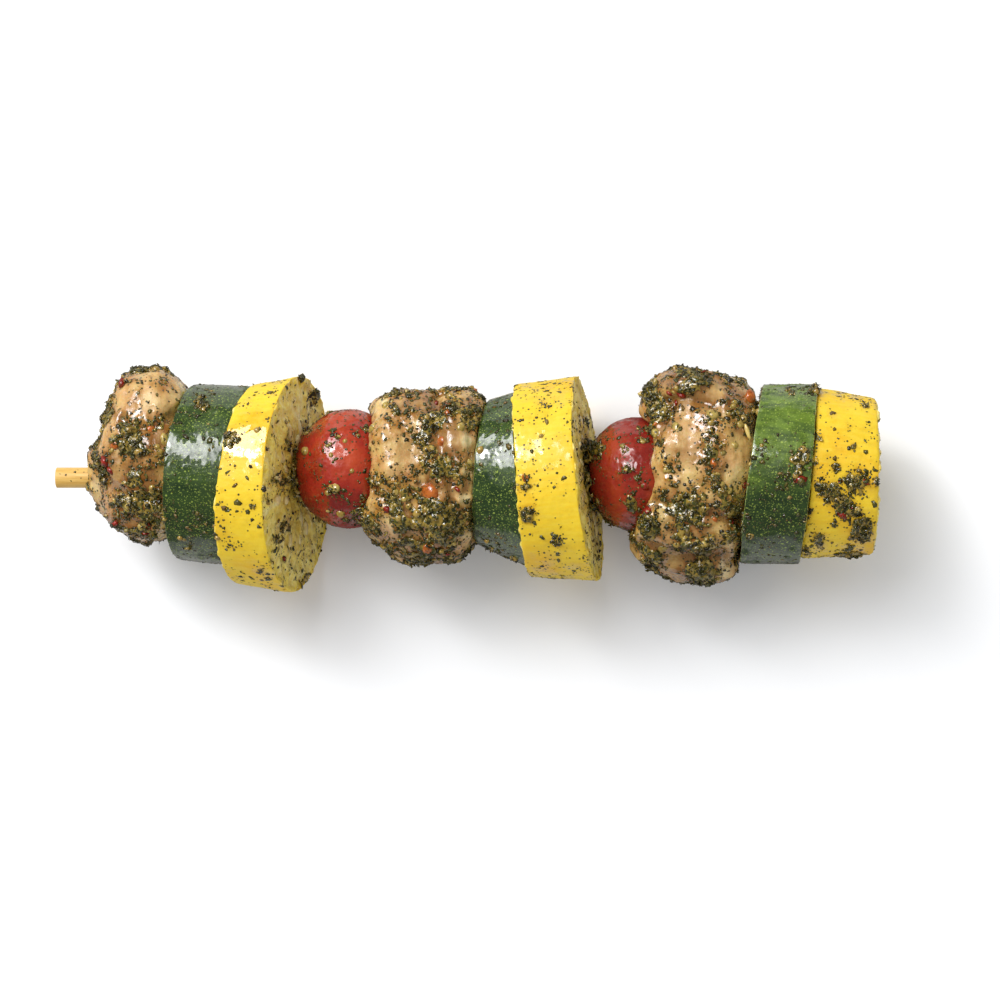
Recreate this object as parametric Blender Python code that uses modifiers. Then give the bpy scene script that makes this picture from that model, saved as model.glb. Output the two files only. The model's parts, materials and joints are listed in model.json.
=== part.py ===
"""A chicken and vegetable kebab lying on its side, ready for the grill.

A round bamboo stick carries, from its blunt end to its point: chicken, zucchini, yellow squash,
tomato, chicken, zucchini, yellow squash, tomato, chicken, zucchini, yellow squash.
Every piece is a solid of its own, threaded on the stick through its own hole.

Inside this file X runs along the stick from its blunt end, +Y is the far side and +Z is up, and
places are measured from the stick's axis. One empty then stands the kebab on Z = 0 with the middle
of its footprint at the origin.
"""

import math

import bmesh
import bpy
from mathutils import Euler, Matrix, Vector, noise

MM = 0.001

# Driving sizes of the stick and of how the food sits on it
STICK_DIAMETER = 4.5 * MM
STICK_LENGTH = 177.8 * MM
POINT_LENGTH = 11 * MM
STICK_EDGE = 0.3 * MM
AXIS_HEIGHT = 22.3 * MM
GAP = 0.3 * MM

# Where the middle of the footprint lies, from the blunt end and from the stick's axis
FOOTPRINT_MIDDLE_X = 90.34 * MM
FOOTPRINT_MIDDLE_Y = -0.5 * MM

# How finely things are faceted
SLICE_SIDES = 32
STICK_SIDES = 12
TOMATO_SIDES = 22
TOMATO_RINGS = 13
CHUNK_VOXEL = 1.9 * MM
CHUNK_TRIANGLES = 1150

STICK_COLOUR = (0.78, 0.50, 0.15)
CHICKEN_COLOUR = (0.62, 0.36, 0.15)
ZUCCHINI_COLOUR = (0.03, 0.07, 0.015)
SQUASH_COLOUR = (0.90, 0.62, 0.04)
TOMATO_COLOUR = (0.55, 0.03, 0.012)


# Scene, collections and small shared tools


def clear_scene():
    for old in list(bpy.data.objects):
        bpy.data.objects.remove(old)


def collection(name):
    made = bpy.data.collections.new(name)
    bpy.context.scene.collection.children.link(made)
    return made


clear_scene()
FOOD = collection("chicken_kebab")
CUTTERS = collection("cutters")
FOOTPRINT = bpy.data.objects.new("footprint", None)
FOOTPRINT.location = (-FOOTPRINT_MIDDLE_X, -FOOTPRINT_MIDDLE_Y, AXIS_HEIGHT)
FOOD.objects.link(FOOTPRINT)


def material(name, colour, roughness):
    made = bpy.data.materials.new(name)
    made.use_nodes = True
    shader = made.node_tree.nodes["Principled BSDF"]
    shader.inputs["Base Color"].default_value = (*colour, 1.0)
    shader.inputs["Roughness"].default_value = roughness
    shader.inputs["Metallic"].default_value = 0.0
    return made


def placed(name, bm, where, finish=None, group=FOOD):
    """An object holding the mesh, at a place measured from the stick's blunt end."""
    mesh = bpy.data.meshes.new(name)
    bm.to_mesh(mesh)
    bm.free()
    obj = bpy.data.objects.new(name, mesh)
    obj.parent = FOOTPRINT
    obj.location = where
    group.objects.link(obj)
    if finish:
        mesh.materials.append(finish)
    if group is CUTTERS:
        obj.hide_render = True
        obj.display_type = "WIRE"
    return obj


def settle(obj):
    """Turns the object's modifiers into its mesh."""
    bpy.context.view_layer.update()
    graph = bpy.context.evaluated_depsgraph_get()
    shaped = bpy.data.meshes.new_from_object(obj.evaluated_get(graph))
    obj.modifiers.clear()
    obj.data = shaped


def cut_away(obj, *cutters):
    for cutter in cutters:
        cut = obj.modifiers.new(f"cut_{cutter.name}", "BOOLEAN")
        cut.operation = "DIFFERENCE"
        cut.object = cutter


def shade(obj):
    obj.data.shade_smooth()
    obj.data.set_sharp_from_angle(angle=math.radians(40))


# The stick: a round bamboo rod, sawn square at one end and turned to a point at the other


def stick_mesh(grow=0.0):
    """The rod along +X from the origin. A grown one is the cutter of its own hole."""
    radius = STICK_DIAMETER / 2 + grow
    shank = STICK_LENGTH - POINT_LENGTH
    bm = bmesh.new()
    bmesh.ops.create_cone(
        bm, cap_ends=True, segments=STICK_SIDES, radius1=radius, radius2=radius, depth=shank + 2 * grow
    )
    bmesh.ops.rotate(bm, verts=bm.verts, matrix=Matrix.Rotation(math.pi / 2, 3, "Y"))
    bmesh.ops.translate(bm, verts=bm.verts, vec=(shank / 2, 0, 0))
    ends = [face for face in bm.faces if len(face.verts) == STICK_SIDES]
    blunt, root = sorted(ends, key=lambda face: face.calc_center_median().x)
    drawn = bmesh.ops.extrude_discrete_faces(bm, faces=[root])["faces"][0]
    bmesh.ops.translate(bm, verts=drawn.verts, vec=(POINT_LENGTH, 0, 0))
    tip = drawn.calc_center_median()
    bmesh.ops.scale(bm, verts=drawn.verts, vec=(1, 0.12, 0.12), space=Matrix.Translation(-tip))
    bmesh.ops.remove_doubles(bm, verts=bm.verts, dist=1e-6)
    if not grow:
        bmesh.ops.bevel(bm, geom=list(blunt.edges), offset=STICK_EDGE, segments=1, affect="EDGES")
    return bm


stick = placed("stick", stick_mesh(), (0, 0, 0), material("bamboo", STICK_COLOUR, 0.5))
shade(stick)
hole = placed("hole", stick_mesh(GAP), (0, 0, 0), group=CUTTERS)


# The table top, which flattens what presses on it


def table_cutter():
    size = 60 * MM
    bm = bmesh.new()
    bmesh.ops.create_cube(bm, size=size)
    bmesh.ops.scale(bm, verts=bm.verts, vec=(5, 2, 1))
    return placed("table", bm, (FOOTPRINT_MIDDLE_X, 0, -AXIS_HEIGHT - size / 2), group=CUTTERS)


table = table_cutter()


# A cut face: where a knife went through a vegetable, and the plane that a neighbour lies against


class Face:
    """A round cut face. Turn swings it about the upright, lean tips its +X side up, in degrees."""

    def __init__(self, x, y, z, radius, turn, lean):
        self.centre = Vector((x, y, z)) * MM
        self.radius = radius * MM
        self.turn = turn
        self.lean = lean

    def frame(self):
        angles = Euler((0, -math.radians(self.lean), math.radians(self.turn)), "XYZ")
        return Matrix.Translation(self.centre) @ angles.to_matrix().to_4x4()


def beyond(name, face, side):
    """A block that fills all on one side of a face, but for the gap that neighbours keep."""
    size = 90 * MM
    bm = bmesh.new()
    bmesh.ops.create_cube(bm, size=size)
    bmesh.ops.translate(bm, verts=bm.verts, vec=(side * (size / 2 - GAP), 0, 0))
    bmesh.ops.transform(bm, verts=bm.verts, matrix=face.frame())
    return placed(name, bm, (0, 0, 0), group=CUTTERS)


# Zucchini and squash slices: a short length of the vegetable between two knife cuts


def between(left, right, share):
    """The face a share of the way from one cut to the other."""

    def mix(a, b):
        return a + (b - a) * share

    centre = left.centre.lerp(right.centre, share) / MM
    return Face(
        *centre, mix(left.radius, right.radius) / MM, mix(left.turn, right.turn), mix(left.lean, right.lean)
    )


def slice_mesh(left, right, rim, dish, belly, ribs):
    """A slice between two cuts that needn't be parallel. Its origin is midway between them.

    rim rounds the cut edges, dish sinks the seedy middles, belly swells the skin at mid thickness,
    and ribs is a list of (lobes, depth, phase) that make the outline less than round.
    """
    middle = between(left, right, 0.5)
    thickness = (right.centre - left.centre).length
    bm = bmesh.new()
    bmesh.ops.create_cone(
        bm, cap_ends=True, segments=SLICE_SIDES, radius1=middle.radius, radius2=middle.radius, depth=thickness
    )
    cut_edges = [edge for edge in bm.edges if abs(edge.verts[0].co.z - edge.verts[1].co.z) < 1e-7]
    bmesh.ops.bevel(bm, geom=cut_edges, offset=rim, segments=2, profile=0.5, affect="EDGES")
    caps = [face for face in bm.faces if len(face.verts) == SLICE_SIDES]
    bmesh.ops.inset_individual(bm, faces=caps, thickness=middle.radius * 0.42)
    for vertex in bmesh.ops.poke(bm, faces=caps)["verts"]:
        vertex.co.z -= math.copysign(dish, vertex.co.z)
    for vertex in bm.verts:
        share = vertex.co.z / thickness + 0.5
        section = between(left, right, share)
        angle = math.atan2(vertex.co.y, vertex.co.x)
        swell = 1 + belly * (1 - (2 * share - 1) ** 2)
        swell += sum(depth * math.cos(lobes * angle + phase) for lobes, depth, phase in ribs)
        reach = Vector((vertex.co.x, vertex.co.y)) * (section.radius / middle.radius * swell)
        vertex.co = section.frame() @ Vector((0, reach.x, reach.y)) - middle.centre
    bmesh.ops.recalc_face_normals(bm, faces=bm.faces)
    return bm, middle.centre


def vegetable_slice(name, left, right, finish, rim, dish, belly, ribs):
    bm, centre = slice_mesh(left, right, rim * MM, dish * MM, belly, ribs)
    obj = placed(name, bm, centre, finish)
    cut_away(obj, hole, table)
    settle(obj)
    shade(obj)
    return obj


def parted(face, side):
    """The same face drawn back by half the gap, so that two slices cut alike don't touch."""
    back = face.frame() @ Vector((side * GAP / 2, 0, 0)) / MM
    return Face(*back, face.radius / MM, face.turn, face.lean)


# Both slices of a zucchini and squash pair share the plane where they touch
zucchini_1_left = Face(29.2, 1.1, -0.6, 19.4, -5, 11)
zucchini_1_right = Face(42.2, 0.6, -0.2, 19.8, -6, 13)
squash_1_left = Face(42.2, -1.3, -0.9, 22.3, -6, 13)
squash_1_right = Face(53.0, -1.3, -0.3, 23.8, -2.2, 14.2)

zucchini_2_left = Face(94.0, 1.2, 0.2, 16.0, -5, 8)
zucchini_2_right = Face(102.6, -0.5, 0.2, 19.4, 4.2, 5)
squash_2_left = Face(102.6, -0.5, -1.5, 21.2, 4.2, 5)
squash_2_right = Face(116.9, -0.1, -0.9, 22.8, 5.8, 8.5)

zucchini_3_left = Face(152.9, 0.8, -0.6, 19.8, -7.4, 7)
zucchini_3_right = Face(165.0, 0.9, 0.0, 19.9, -5.3, 3.5)
squash_3_left = Face(165.0, 1.1, 0.0, 18.6, -5.3, 3.5)
squash_3_right = Face(179.8, 0.3, 0.6, 17.1, -1.2, 3.5)

zucchini_skin = material("zucchini_skin", ZUCCHINI_COLOUR, 0.25)
squash_skin = material("squash_skin", SQUASH_COLOUR, 0.3)

vegetable_slice(
    "zucchini_1", parted(zucchini_1_left, 1), parted(zucchini_1_right, -1), zucchini_skin,
    rim=0.5, dish=0.4, belly=0.0, ribs=[(5, 0.008, 0.4), (2, 0.006, 1.0)],
)  # fmt: skip
vegetable_slice(
    "squash_1", parted(squash_1_left, 1), parted(squash_1_right, -1), squash_skin,
    rim=0.6, dish=0.5, belly=0.008, ribs=[(3, 0.008, 0.9), (4, 0.006, 0.2)],
)  # fmt: skip
vegetable_slice(
    "zucchini_2", parted(zucchini_2_left, 1), parted(zucchini_2_right, -1), zucchini_skin,
    rim=0.5, dish=0.4, belly=0.015, ribs=[(5, 0.008, 2.1), (2, 0.006, 0.0)],
)  # fmt: skip
vegetable_slice(
    "squash_2", parted(squash_2_left, 1), parted(squash_2_right, -1), squash_skin,
    rim=0.6, dish=0.4, belly=0.006, ribs=[(3, 0.008, 2.2), (4, 0.006, 1.4)],
)  # fmt: skip
vegetable_slice(
    "zucchini_3", parted(zucchini_3_left, 1), parted(zucchini_3_right, -1), zucchini_skin,
    rim=0.5, dish=0.4, belly=0.0, ribs=[(5, 0.008, 3.6), (2, 0.006, 2.0)],
)  # fmt: skip
vegetable_slice(
    "squash_3", parted(squash_3_left, 1), parted(squash_3_right, -1), squash_skin,
    rim=1.4, dish=0.4, belly=0.01, ribs=[(3, 0.01, 4.0), (4, 0.006, 0.6)],
)  # fmt: skip


# Small tomatoes, threaded through stem end and tip, with the skin drawn in round the stick


def tomato_mesh(half_length, half_width, pucker, grow=0.0):
    bm = bmesh.new()
    bmesh.ops.create_uvsphere(bm, u_segments=TOMATO_SIDES, v_segments=TOMATO_RINGS, radius=1)
    bmesh.ops.rotate(bm, verts=bm.verts, matrix=Matrix.Rotation(math.pi / 2, 3, "Y"))
    for vertex in bm.verts:
        out = math.hypot(vertex.co.y, vertex.co.z)
        drawn_in = pucker * math.exp(-((out / 0.28) ** 2))
        vertex.co.x *= half_length - drawn_in + grow
        vertex.co.y *= half_width + grow
        vertex.co.z *= half_width + grow
    return bm


def tomato(number, centre, half_length, half_width, pressed_on):
    """Returns the cutter of the hollow that the tomato presses into soft meat."""
    where = Vector(centre) * MM
    sizes = (half_length * MM, half_width * MM, 1.0 * MM)
    obj = placed(f"tomato_{number}", tomato_mesh(*sizes), where, tomato_skin)
    cut_away(obj, hole, beyond(f"face_at_tomato_{number}", pressed_on, -1))
    settle(obj)
    shade(obj)
    return placed(f"hollow_{number}", tomato_mesh(*sizes[:2], 0.0, GAP), where, group=CUTTERS)


tomato_skin = material("tomato_skin", TOMATO_COLOUR, 0.2)
hollow_1 = tomato(1, (64.2, 2.0, 0.3), 12.0, 13.1, squash_1_right)
hollow_2 = tomato(2, (127.6, 0.7, 0.2), 11.4, 12.6, squash_2_right)


# Chicken: chunks of breast folded onto the stick, each a few soft lobes grown into one


def lobe(bm, centre, half, turn=0.0, lean=0.0, boxy=2.6):
    """Adds a rounded block, nearer to a box the higher boxy is."""
    made = bmesh.ops.create_uvsphere(bm, u_segments=24, v_segments=16, radius=1)["verts"]
    for vertex in made:
        size = sum(abs(value) ** boxy for value in vertex.co) ** (1 / boxy)
        vertex.co = Vector(value / size * reach * MM for value, reach in zip(vertex.co, half))
    angles = Euler((0, -math.radians(lean), math.radians(turn)), "XYZ").to_matrix().to_4x4()
    bmesh.ops.transform(bm, verts=made, matrix=Matrix.Translation(Vector(centre) * MM) @ angles)


def knead(obj, depth, width, seed):
    """Pushes the skin in and out in soft lumps, as a cut muscle is never smooth."""
    offset = Vector((seed, 2.3 * seed, 3.1 * seed))
    normals = [vertex.normal.copy() for vertex in obj.data.vertices]
    for vertex, normal in zip(obj.data.vertices, normals):
        vertex.co += normal * depth * noise.noise((vertex.co + obj.location) / width + offset)


def chunk(name, centre, lobes, cutters, seed):
    """lobes is a list of (centre, half sizes, turn, lean), in millimetres and degrees."""
    bm = bmesh.new()
    for place, half, turn, lean in lobes:
        lobe(bm, Vector(place) - Vector(centre), half, turn, lean)
    obj = placed(name, bm, Vector(centre) * MM, meat)
    skin = obj.modifiers.new("grown_together", "REMESH")
    skin.mode = "VOXEL"
    skin.voxel_size = CHUNK_VOXEL
    soft = obj.modifiers.new("soft", "SMOOTH")
    soft.iterations = 3
    settle(obj)
    knead(obj, 1.1 * MM, 7 * MM, seed)
    fewer = obj.modifiers.new("fewer", "DECIMATE")
    fewer.ratio = CHUNK_TRIANGLES / (2 * len(obj.data.polygons))
    settle(obj)
    cut_away(obj, hole, table, *cutters)
    settle(obj)
    shade(obj)
    obj.data.materials.clear()
    obj.data.materials.append(meat)
    return obj


meat = material("raw_chicken", CHICKEN_COLOUR, 0.35)

chunk(
    "chicken_1",
    (20.0, 4.0, 0.0),
    [
        ((22.6, 4.4, -0.5), (9.5, 17.0, 17.0), -4, 8),
        ((21.2, 15.6, 1.0), (8.6, 8.2, 13.0), -14, 0),
        ((14.3, 1.4, 0.0), (7.0, 7.6, 10.0), 0, 0),
        ((19.0, -6.4, -2.0), (9.0, 7.2, 14.0), -12, 0),
        ((19.2, 9.0, 6.0), (7.8, 11.5, 9.0), -22, 0),
    ],
    [beyond("zucchini_1_side", zucchini_1_left, 1)],
    seed=1.7,
)
chunk(
    "chicken_2",
    (81.0, 0.5, 0.0),
    [
        ((75.4, 1.2, -1.0), (7.6, 18.4, 18.6), 3, 0),
        ((87.4, 0.6, -2.4), (8.4, 19.4, 20.8), -7, 3),
        ((80.4, -13.0, -6.0), (9.0, 6.2, 13.0), 0, 0),
        ((70.2, -5.4, 2.0), (4.0, 9.0, 10.0), 8, 0),
        ((81.6, 0.8, -1.5), (7.0, 18.5, 18.2), 0, 0),
    ],
    [beyond("zucchini_2_side", zucchini_2_left, 1), hollow_1],
    seed=4.4,
)
chunk(
    "chicken_3",
    (142.0, 0.3, 0.0),
    [
        ((143.6, 1.2, -2.6), (11.0, 21.4, 20.6), -8, 2),
        ((133.2, 16.0, -1.0), (4.6, 6.4, 11.0), -20, 0),
        ((139.0, 18.8, 2.0), (8.6, 5.0, 12.0), -6, 0),
        ((136.2, 3.6, 8.0), (6.6, 11.0, 9.0), 0, 0),
        ((131.9, -9.4, 1.0), (5.6, 9.4, 13.0), -10, 0),
        ((141.2, -18.8, -6.0), (9.6, 4.5, 11.5), -4, 0),
    ],
    [beyond("zucchini_3_side", zucchini_3_left, 1), hollow_2],
    seed=7.9,
)
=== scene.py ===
"""A raw chicken and vegetable kebab in its herb marinade, lying on a white table."""

import json
import math
from collections import namedtuple

import bpy
import numpy as np
from mathutils import Euler, Matrix, Vector, noise
from mathutils.bvhtree import BVHTree

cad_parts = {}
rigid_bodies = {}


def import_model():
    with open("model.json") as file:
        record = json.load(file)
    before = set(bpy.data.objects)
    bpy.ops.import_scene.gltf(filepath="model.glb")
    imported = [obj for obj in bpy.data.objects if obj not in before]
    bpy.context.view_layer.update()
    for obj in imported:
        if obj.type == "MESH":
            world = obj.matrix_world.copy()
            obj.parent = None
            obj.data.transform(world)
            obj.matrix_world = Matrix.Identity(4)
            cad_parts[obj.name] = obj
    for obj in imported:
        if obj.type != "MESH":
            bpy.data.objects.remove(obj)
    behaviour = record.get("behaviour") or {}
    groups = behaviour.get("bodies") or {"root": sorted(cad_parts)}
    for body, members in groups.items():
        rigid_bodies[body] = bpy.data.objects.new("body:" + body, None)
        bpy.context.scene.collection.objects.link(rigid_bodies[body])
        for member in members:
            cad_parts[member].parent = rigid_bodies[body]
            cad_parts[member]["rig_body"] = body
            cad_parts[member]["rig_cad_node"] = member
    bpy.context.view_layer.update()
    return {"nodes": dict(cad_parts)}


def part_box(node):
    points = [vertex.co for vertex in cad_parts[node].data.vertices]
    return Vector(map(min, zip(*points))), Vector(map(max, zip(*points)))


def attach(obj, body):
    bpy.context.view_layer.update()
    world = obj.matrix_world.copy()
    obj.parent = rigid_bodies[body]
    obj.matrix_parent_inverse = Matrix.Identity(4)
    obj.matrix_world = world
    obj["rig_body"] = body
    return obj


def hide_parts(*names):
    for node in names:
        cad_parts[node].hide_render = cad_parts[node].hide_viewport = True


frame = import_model()
bpy.ops.object.select_all(action="DESELECT")


# Camera, light and table
# The kebab is seen from straight above on a white table. One large softbox with a brighter middle
# stands to the upper left. The dim room only fills the shadows, and wet surfaces hardly show it.

MM = 0.001
STICK_START = Vector((-90.34, 0.5, 22.3)) * MM
VIEW_DISTANCE = 611.1 * MM
VIEW_CENTRE = Vector((7.12, -4.41, 0)) * MM
PHOTO_SIZE = 1000
PHOTO_PIXEL = 0.22 * MM
LENS_LENGTH = 100
SENSOR_WIDTH = 36

lens = bpy.data.cameras.new("overhead")
lens.lens = LENS_LENGTH
lens.sensor_width = SENSOR_WIDTH
camera = bpy.data.objects.new("overhead", lens)
camera.location = VIEW_CENTRE + Vector((0, 0, STICK_START.z + VIEW_DISTANCE))
bpy.context.scene.collection.objects.link(camera)
bpy.context.scene.camera = camera
bpy.context.scene.view_settings.view_transform = "Standard"


def photo_places(points):
    """Where points on the kebab are seen in the photo, in its pixels."""
    points = np.asarray(points)
    enlarged = VIEW_DISTANCE / (camera.location.z - points[:, 2]) / PHOTO_PIXEL
    across = PHOTO_SIZE / 2 + (points[:, 0] - camera.location.x) * enlarged
    down = PHOTO_SIZE / 2 - (points[:, 1] - camera.location.y) * enlarged
    return across, down


LIGHT_SIDE = Vector((-0.46, 0.52, 0.75)).normalized()
SOFTBOX_SIZE = (0.95, 1.25)
SOFTBOX_POWER = 20.5
SOFTBOX_DISTANCE = 1.5
LAMP_SIZE = (0.26, 0.42)
LAMP_POWER = 5.0
LAMP_DISTANCE = 1.48

for name, size, power, distance in (
    ("softbox", SOFTBOX_SIZE, SOFTBOX_POWER, SOFTBOX_DISTANCE),
    ("lamp", LAMP_SIZE, LAMP_POWER, LAMP_DISTANCE),
):
    light = bpy.data.lights.new(name, "AREA")
    light.shape = "RECTANGLE"
    light.size, light.size_y = size
    light.energy = power
    lamp = bpy.data.objects.new(name, light)
    lamp.location = LIGHT_SIDE * distance
    lamp.rotation_euler = LIGHT_SIDE.to_track_quat("Z", "Y").to_euler()
    bpy.context.scene.collection.objects.link(lamp)


def shader_node(tree, kind, inputs=None, **settings):
    """A node of a material. An input is given a value, or another node's socket to link."""
    made = tree.nodes.new("ShaderNode" + kind)
    for name, value in settings.items():
        setattr(made, name, value)
    for place, value in (inputs or {}).items():
        if isinstance(value, bpy.types.NodeSocket):
            tree.links.new(value, made.inputs[place])
        else:
            made.inputs[place].default_value = value
    return made


ROOM_FILL = 0.60
ROOM_IN_GLOSS = 0.10
BACKDROP = 1.0
ROOM_COLOUR = (0.99, 0.995, 1.0, 1)

room = bpy.data.worlds.new("room")
bpy.context.scene.world = room
room.use_nodes = True
room_nodes = room.node_tree
rays = shader_node(room_nodes, "LightPath").outputs
strength = ROOM_FILL
for ray, amount in (("Is Glossy Ray", ROOM_IN_GLOSS), ("Is Camera Ray", BACKDROP)):
    inputs = {0: rays[ray], 2: strength, 3: amount}
    strength = shader_node(room_nodes, "Mix", inputs, data_type="FLOAT").outputs[0]
background = room_nodes.nodes["Background"]
background.inputs["Color"].default_value = ROOM_COLOUR
room_nodes.links.new(strength, background.inputs["Strength"])

TABLE_RADIUS = 1.3
TABLE_SIDES = 64
TABLE_WHITE = (0.925, 0.935, 0.955, 1)
TABLE_IN_GLOSS = (0.36, 0.36, 0.35, 1)

bpy.ops.mesh.primitive_circle_add(vertices=TABLE_SIDES, radius=TABLE_RADIUS, fill_type="NGON")
table = bpy.context.active_object
table.name = "table"
white = bpy.data.materials.new("white_table")
white.use_nodes = True
white_shader = white.node_tree.nodes["Principled BSDF"]
table_rays = shader_node(white.node_tree, "LightPath").outputs["Is Glossy Ray"]
table_colour = shader_node(
    white.node_tree, "Mix", {0: table_rays, 6: TABLE_WHITE, 7: TABLE_IN_GLOSS}, data_type="RGBA"
)
white.node_tree.links.new(table_colour.outputs[2], white_shader.inputs["Base Color"])
white_shader.inputs["Roughness"].default_value = 0.9
white_shader.inputs["Specular IOR Level"].default_value = 0.1
table.data.materials.append(white)


# The stick
# A round bamboo rod 4.5 mm thick and 178 mm long, turned from the wall of a culm, sawn square at
# the end that shows and sharpened at the end that sits inside the last slice.

STICK_RADIUS = 2.25 * MM
STICK_SHANK = 166.8 * MM
STICK_POINT = 11 * MM
STICK_SIDES = 40
TIP_SHARE = 0.12
SAWN_EDGE = 0.18 * MM
SAWN_STEP = 0.12 * MM
SAWN_FACE_INSET = 1.0 * MM
SHARP_EDGE = math.radians(35)
BAMBOO = (0.66, 0.39, 0.085, 1)
BAMBOO_FIBRE = (0.50, 0.26, 0.05, 1)
BAMBOO_PALE = (0.76, 0.51, 0.16, 1)


def edit(piece, mode="FACE"):
    """Opens a piece for editing with nothing selected."""
    bpy.ops.object.select_all(action="DESELECT")
    piece.select_set(True)
    bpy.context.view_layer.objects.active = piece
    bpy.ops.object.mode_set(mode="EDIT")
    bpy.ops.mesh.select_mode(type=mode)
    bpy.ops.mesh.select_all(action="DESELECT")


def pick(piece, wanted):
    """Selects the faces that a test wants. It leaves edit mode to do so, and comes back."""
    bpy.ops.object.mode_set(mode="OBJECT")
    for face in piece.data.polygons:
        face.select = wanted(face)
    bpy.ops.object.mode_set(mode="EDIT")


def done(piece):
    bpy.ops.object.mode_set(mode="OBJECT")
    bpy.ops.object.transform_apply(location=True, rotation=True, scale=True)
    bpy.ops.object.select_all(action="DESELECT")
    return piece


def put_in_order(piece):
    """Sorts a piece's points and faces by place, because editing can leave them in any order.

    What is strewn on a piece is drawn face by face, so it would lie otherwise in each run.
    """
    places = [tuple(round(value, 7) for value in vertex.co) for vertex in piece.data.vertices]
    order = sorted(range(len(places)), key=places.__getitem__)
    ranks = {old: new for new, old in enumerate(order)}
    faces = []
    for face in piece.data.polygons:
        corners = [ranks[corner] for corner in face.vertices]
        first = corners.index(min(corners))
        faces.append(corners[first:] + corners[:first])
    piece.data.clear_geometry()
    piece.data.from_pydata([places[old] for old in order], [], sorted(faces))
    piece.data.update()


def apply_modifier(piece, kind, **settings):
    bpy.ops.object.select_all(action="DESELECT")
    piece.select_set(True)
    bpy.context.view_layer.objects.active = piece
    made = piece.modifiers.new(kind.lower(), kind)
    for name, value in settings.items():
        setattr(made, name, value)
    bpy.ops.object.modifier_apply(modifier=made.name)


bpy.ops.mesh.primitive_cylinder_add(
    vertices=STICK_SIDES,
    radius=STICK_RADIUS,
    depth=STICK_SHANK,
    location=STICK_START + Vector((STICK_SHANK / 2, 0, 0)),
    rotation=(0, math.pi / 2, 0),
)
stick = done(bpy.context.active_object)
stick.name = "bamboo_stick"
edit(stick)
pick(stick, lambda face: face.normal.x > 0.9)
bpy.ops.mesh.extrude_region_move(TRANSFORM_OT_translate={"value": (STICK_POINT, 0, 0)})
bpy.ops.transform.resize(value=(1, TIP_SHARE, TIP_SHARE))
pick(stick, lambda face: face.normal.x < -0.9)
bpy.ops.mesh.inset(thickness=SAWN_EDGE)
bpy.ops.transform.translate(value=(-SAWN_STEP, 0, 0))
bpy.ops.mesh.inset(thickness=SAWN_FACE_INSET)
bpy.ops.mesh.poke()
done(stick)
put_in_order(stick)
stick.data.polygons.foreach_set("use_smooth", [len(face.vertices) == 4 for face in stick.data.polygons])
stick.data.set_sharp_from_angle(angle=SHARP_EDGE)


def new_material(name):
    made = bpy.data.materials.new(name)
    made.use_nodes = True
    tree = made.node_tree
    return made, tree, tree.nodes["Principled BSDF"]


def colour_ramp(tree, factor, *stops):
    """A ramp through (place, colour) stops."""
    made = shader_node(tree, "ValToRGB", {0: factor})
    while len(made.color_ramp.elements) < len(stops):
        made.color_ramp.elements.new(0.5)
    for element, (place, colour) in zip(made.color_ramp.elements, stops):
        element.position = place
        element.color = colour
    return made.outputs["Color"]


def mixed(tree, factor, first, second, blend="MIX"):
    made = shader_node(tree, "Mix", {0: factor, 6: first, 7: second}, data_type="RGBA", blend_type=blend)
    return made.outputs[2]


def noise_value(tree, vector, scale, detail=3.0, roughness=0.5):
    made = shader_node(
        tree, "TexNoise", {"Vector": vector, "Scale": scale, "Detail": detail, "Roughness": roughness}
    )
    return made.outputs["Fac"]


def maths(tree, operation, *values):
    made = shader_node(tree, "Math", dict(enumerate(values)), operation=operation)
    return made.outputs[0]


def between(tree, value, low, high, out_low=0.0, out_high=1.0):
    """The value carried from one range to another, smoothly and no further."""
    inputs = {"Value": value, 1: low, 2: high, 3: out_low, 4: out_high}
    return shader_node(tree, "MapRange", inputs, interpolation_type="SMOOTHSTEP").outputs[0]


def own_space(tree, centre=(0, 0, 0), angles=(0, 0, 0), stretch=(1, 1, 1)):
    """Object coordinates seen from a centre, turned and stretched with a piece."""
    place = shader_node(tree, "TexCoord").outputs["Object"]
    inputs = {"Vector": place, "Location": centre, "Rotation": angles, "Scale": stretch}
    return shader_node(tree, "Mapping", inputs, vector_type="TEXTURE").outputs["Vector"]


def bumped(tree, shader, height, distance, strength=1.0):
    bump = shader_node(tree, "Bump", {"Strength": strength, "Distance": distance, "Height": height})
    tree.links.new(bump.outputs["Normal"], shader.inputs["Normal"])


bamboo, tree, shader = new_material("bamboo")
along = own_space(tree, STICK_START, stretch=(12, 1, 1))
fibres = noise_value(tree, along, 1600, 4, 0.7)
bands = noise_value(tree, along, 450, 2)
colour = colour_ramp(tree, fibres, (0.3, BAMBOO_FIBRE), (0.5, BAMBOO), (0.72, BAMBOO_PALE))
colour = mixed(tree, between(tree, bands, 0.45, 0.7, 0.0, 0.5), colour, BAMBOO_PALE)
tree.links.new(colour, shader.inputs["Base Color"])
shader.inputs["Roughness"].default_value = 0.42
bumped(tree, shader, fibres, distance=0.08 * MM)
stick.data.materials.clear()
stick.data.materials.append(bamboo)
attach(stick, "root")
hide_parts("stick")


# How the marinade lies
# Dried herbs in oil, rubbed over everything. They gather in folds and on the chicken, and slide
# off the skins of the vegetables. Where the photo shows them gathered or missing is listed.

Patch = namedtuple("Patch", "across down reach strength")


def rows_of(kind, *rows):
    """A list of Patch or Spot, made of rows of their values."""
    return [kind(*row) for row in rows]


# A few patches on the first squash's cut face beside the tomato darken it as painted shade as well as herbs.
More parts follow.
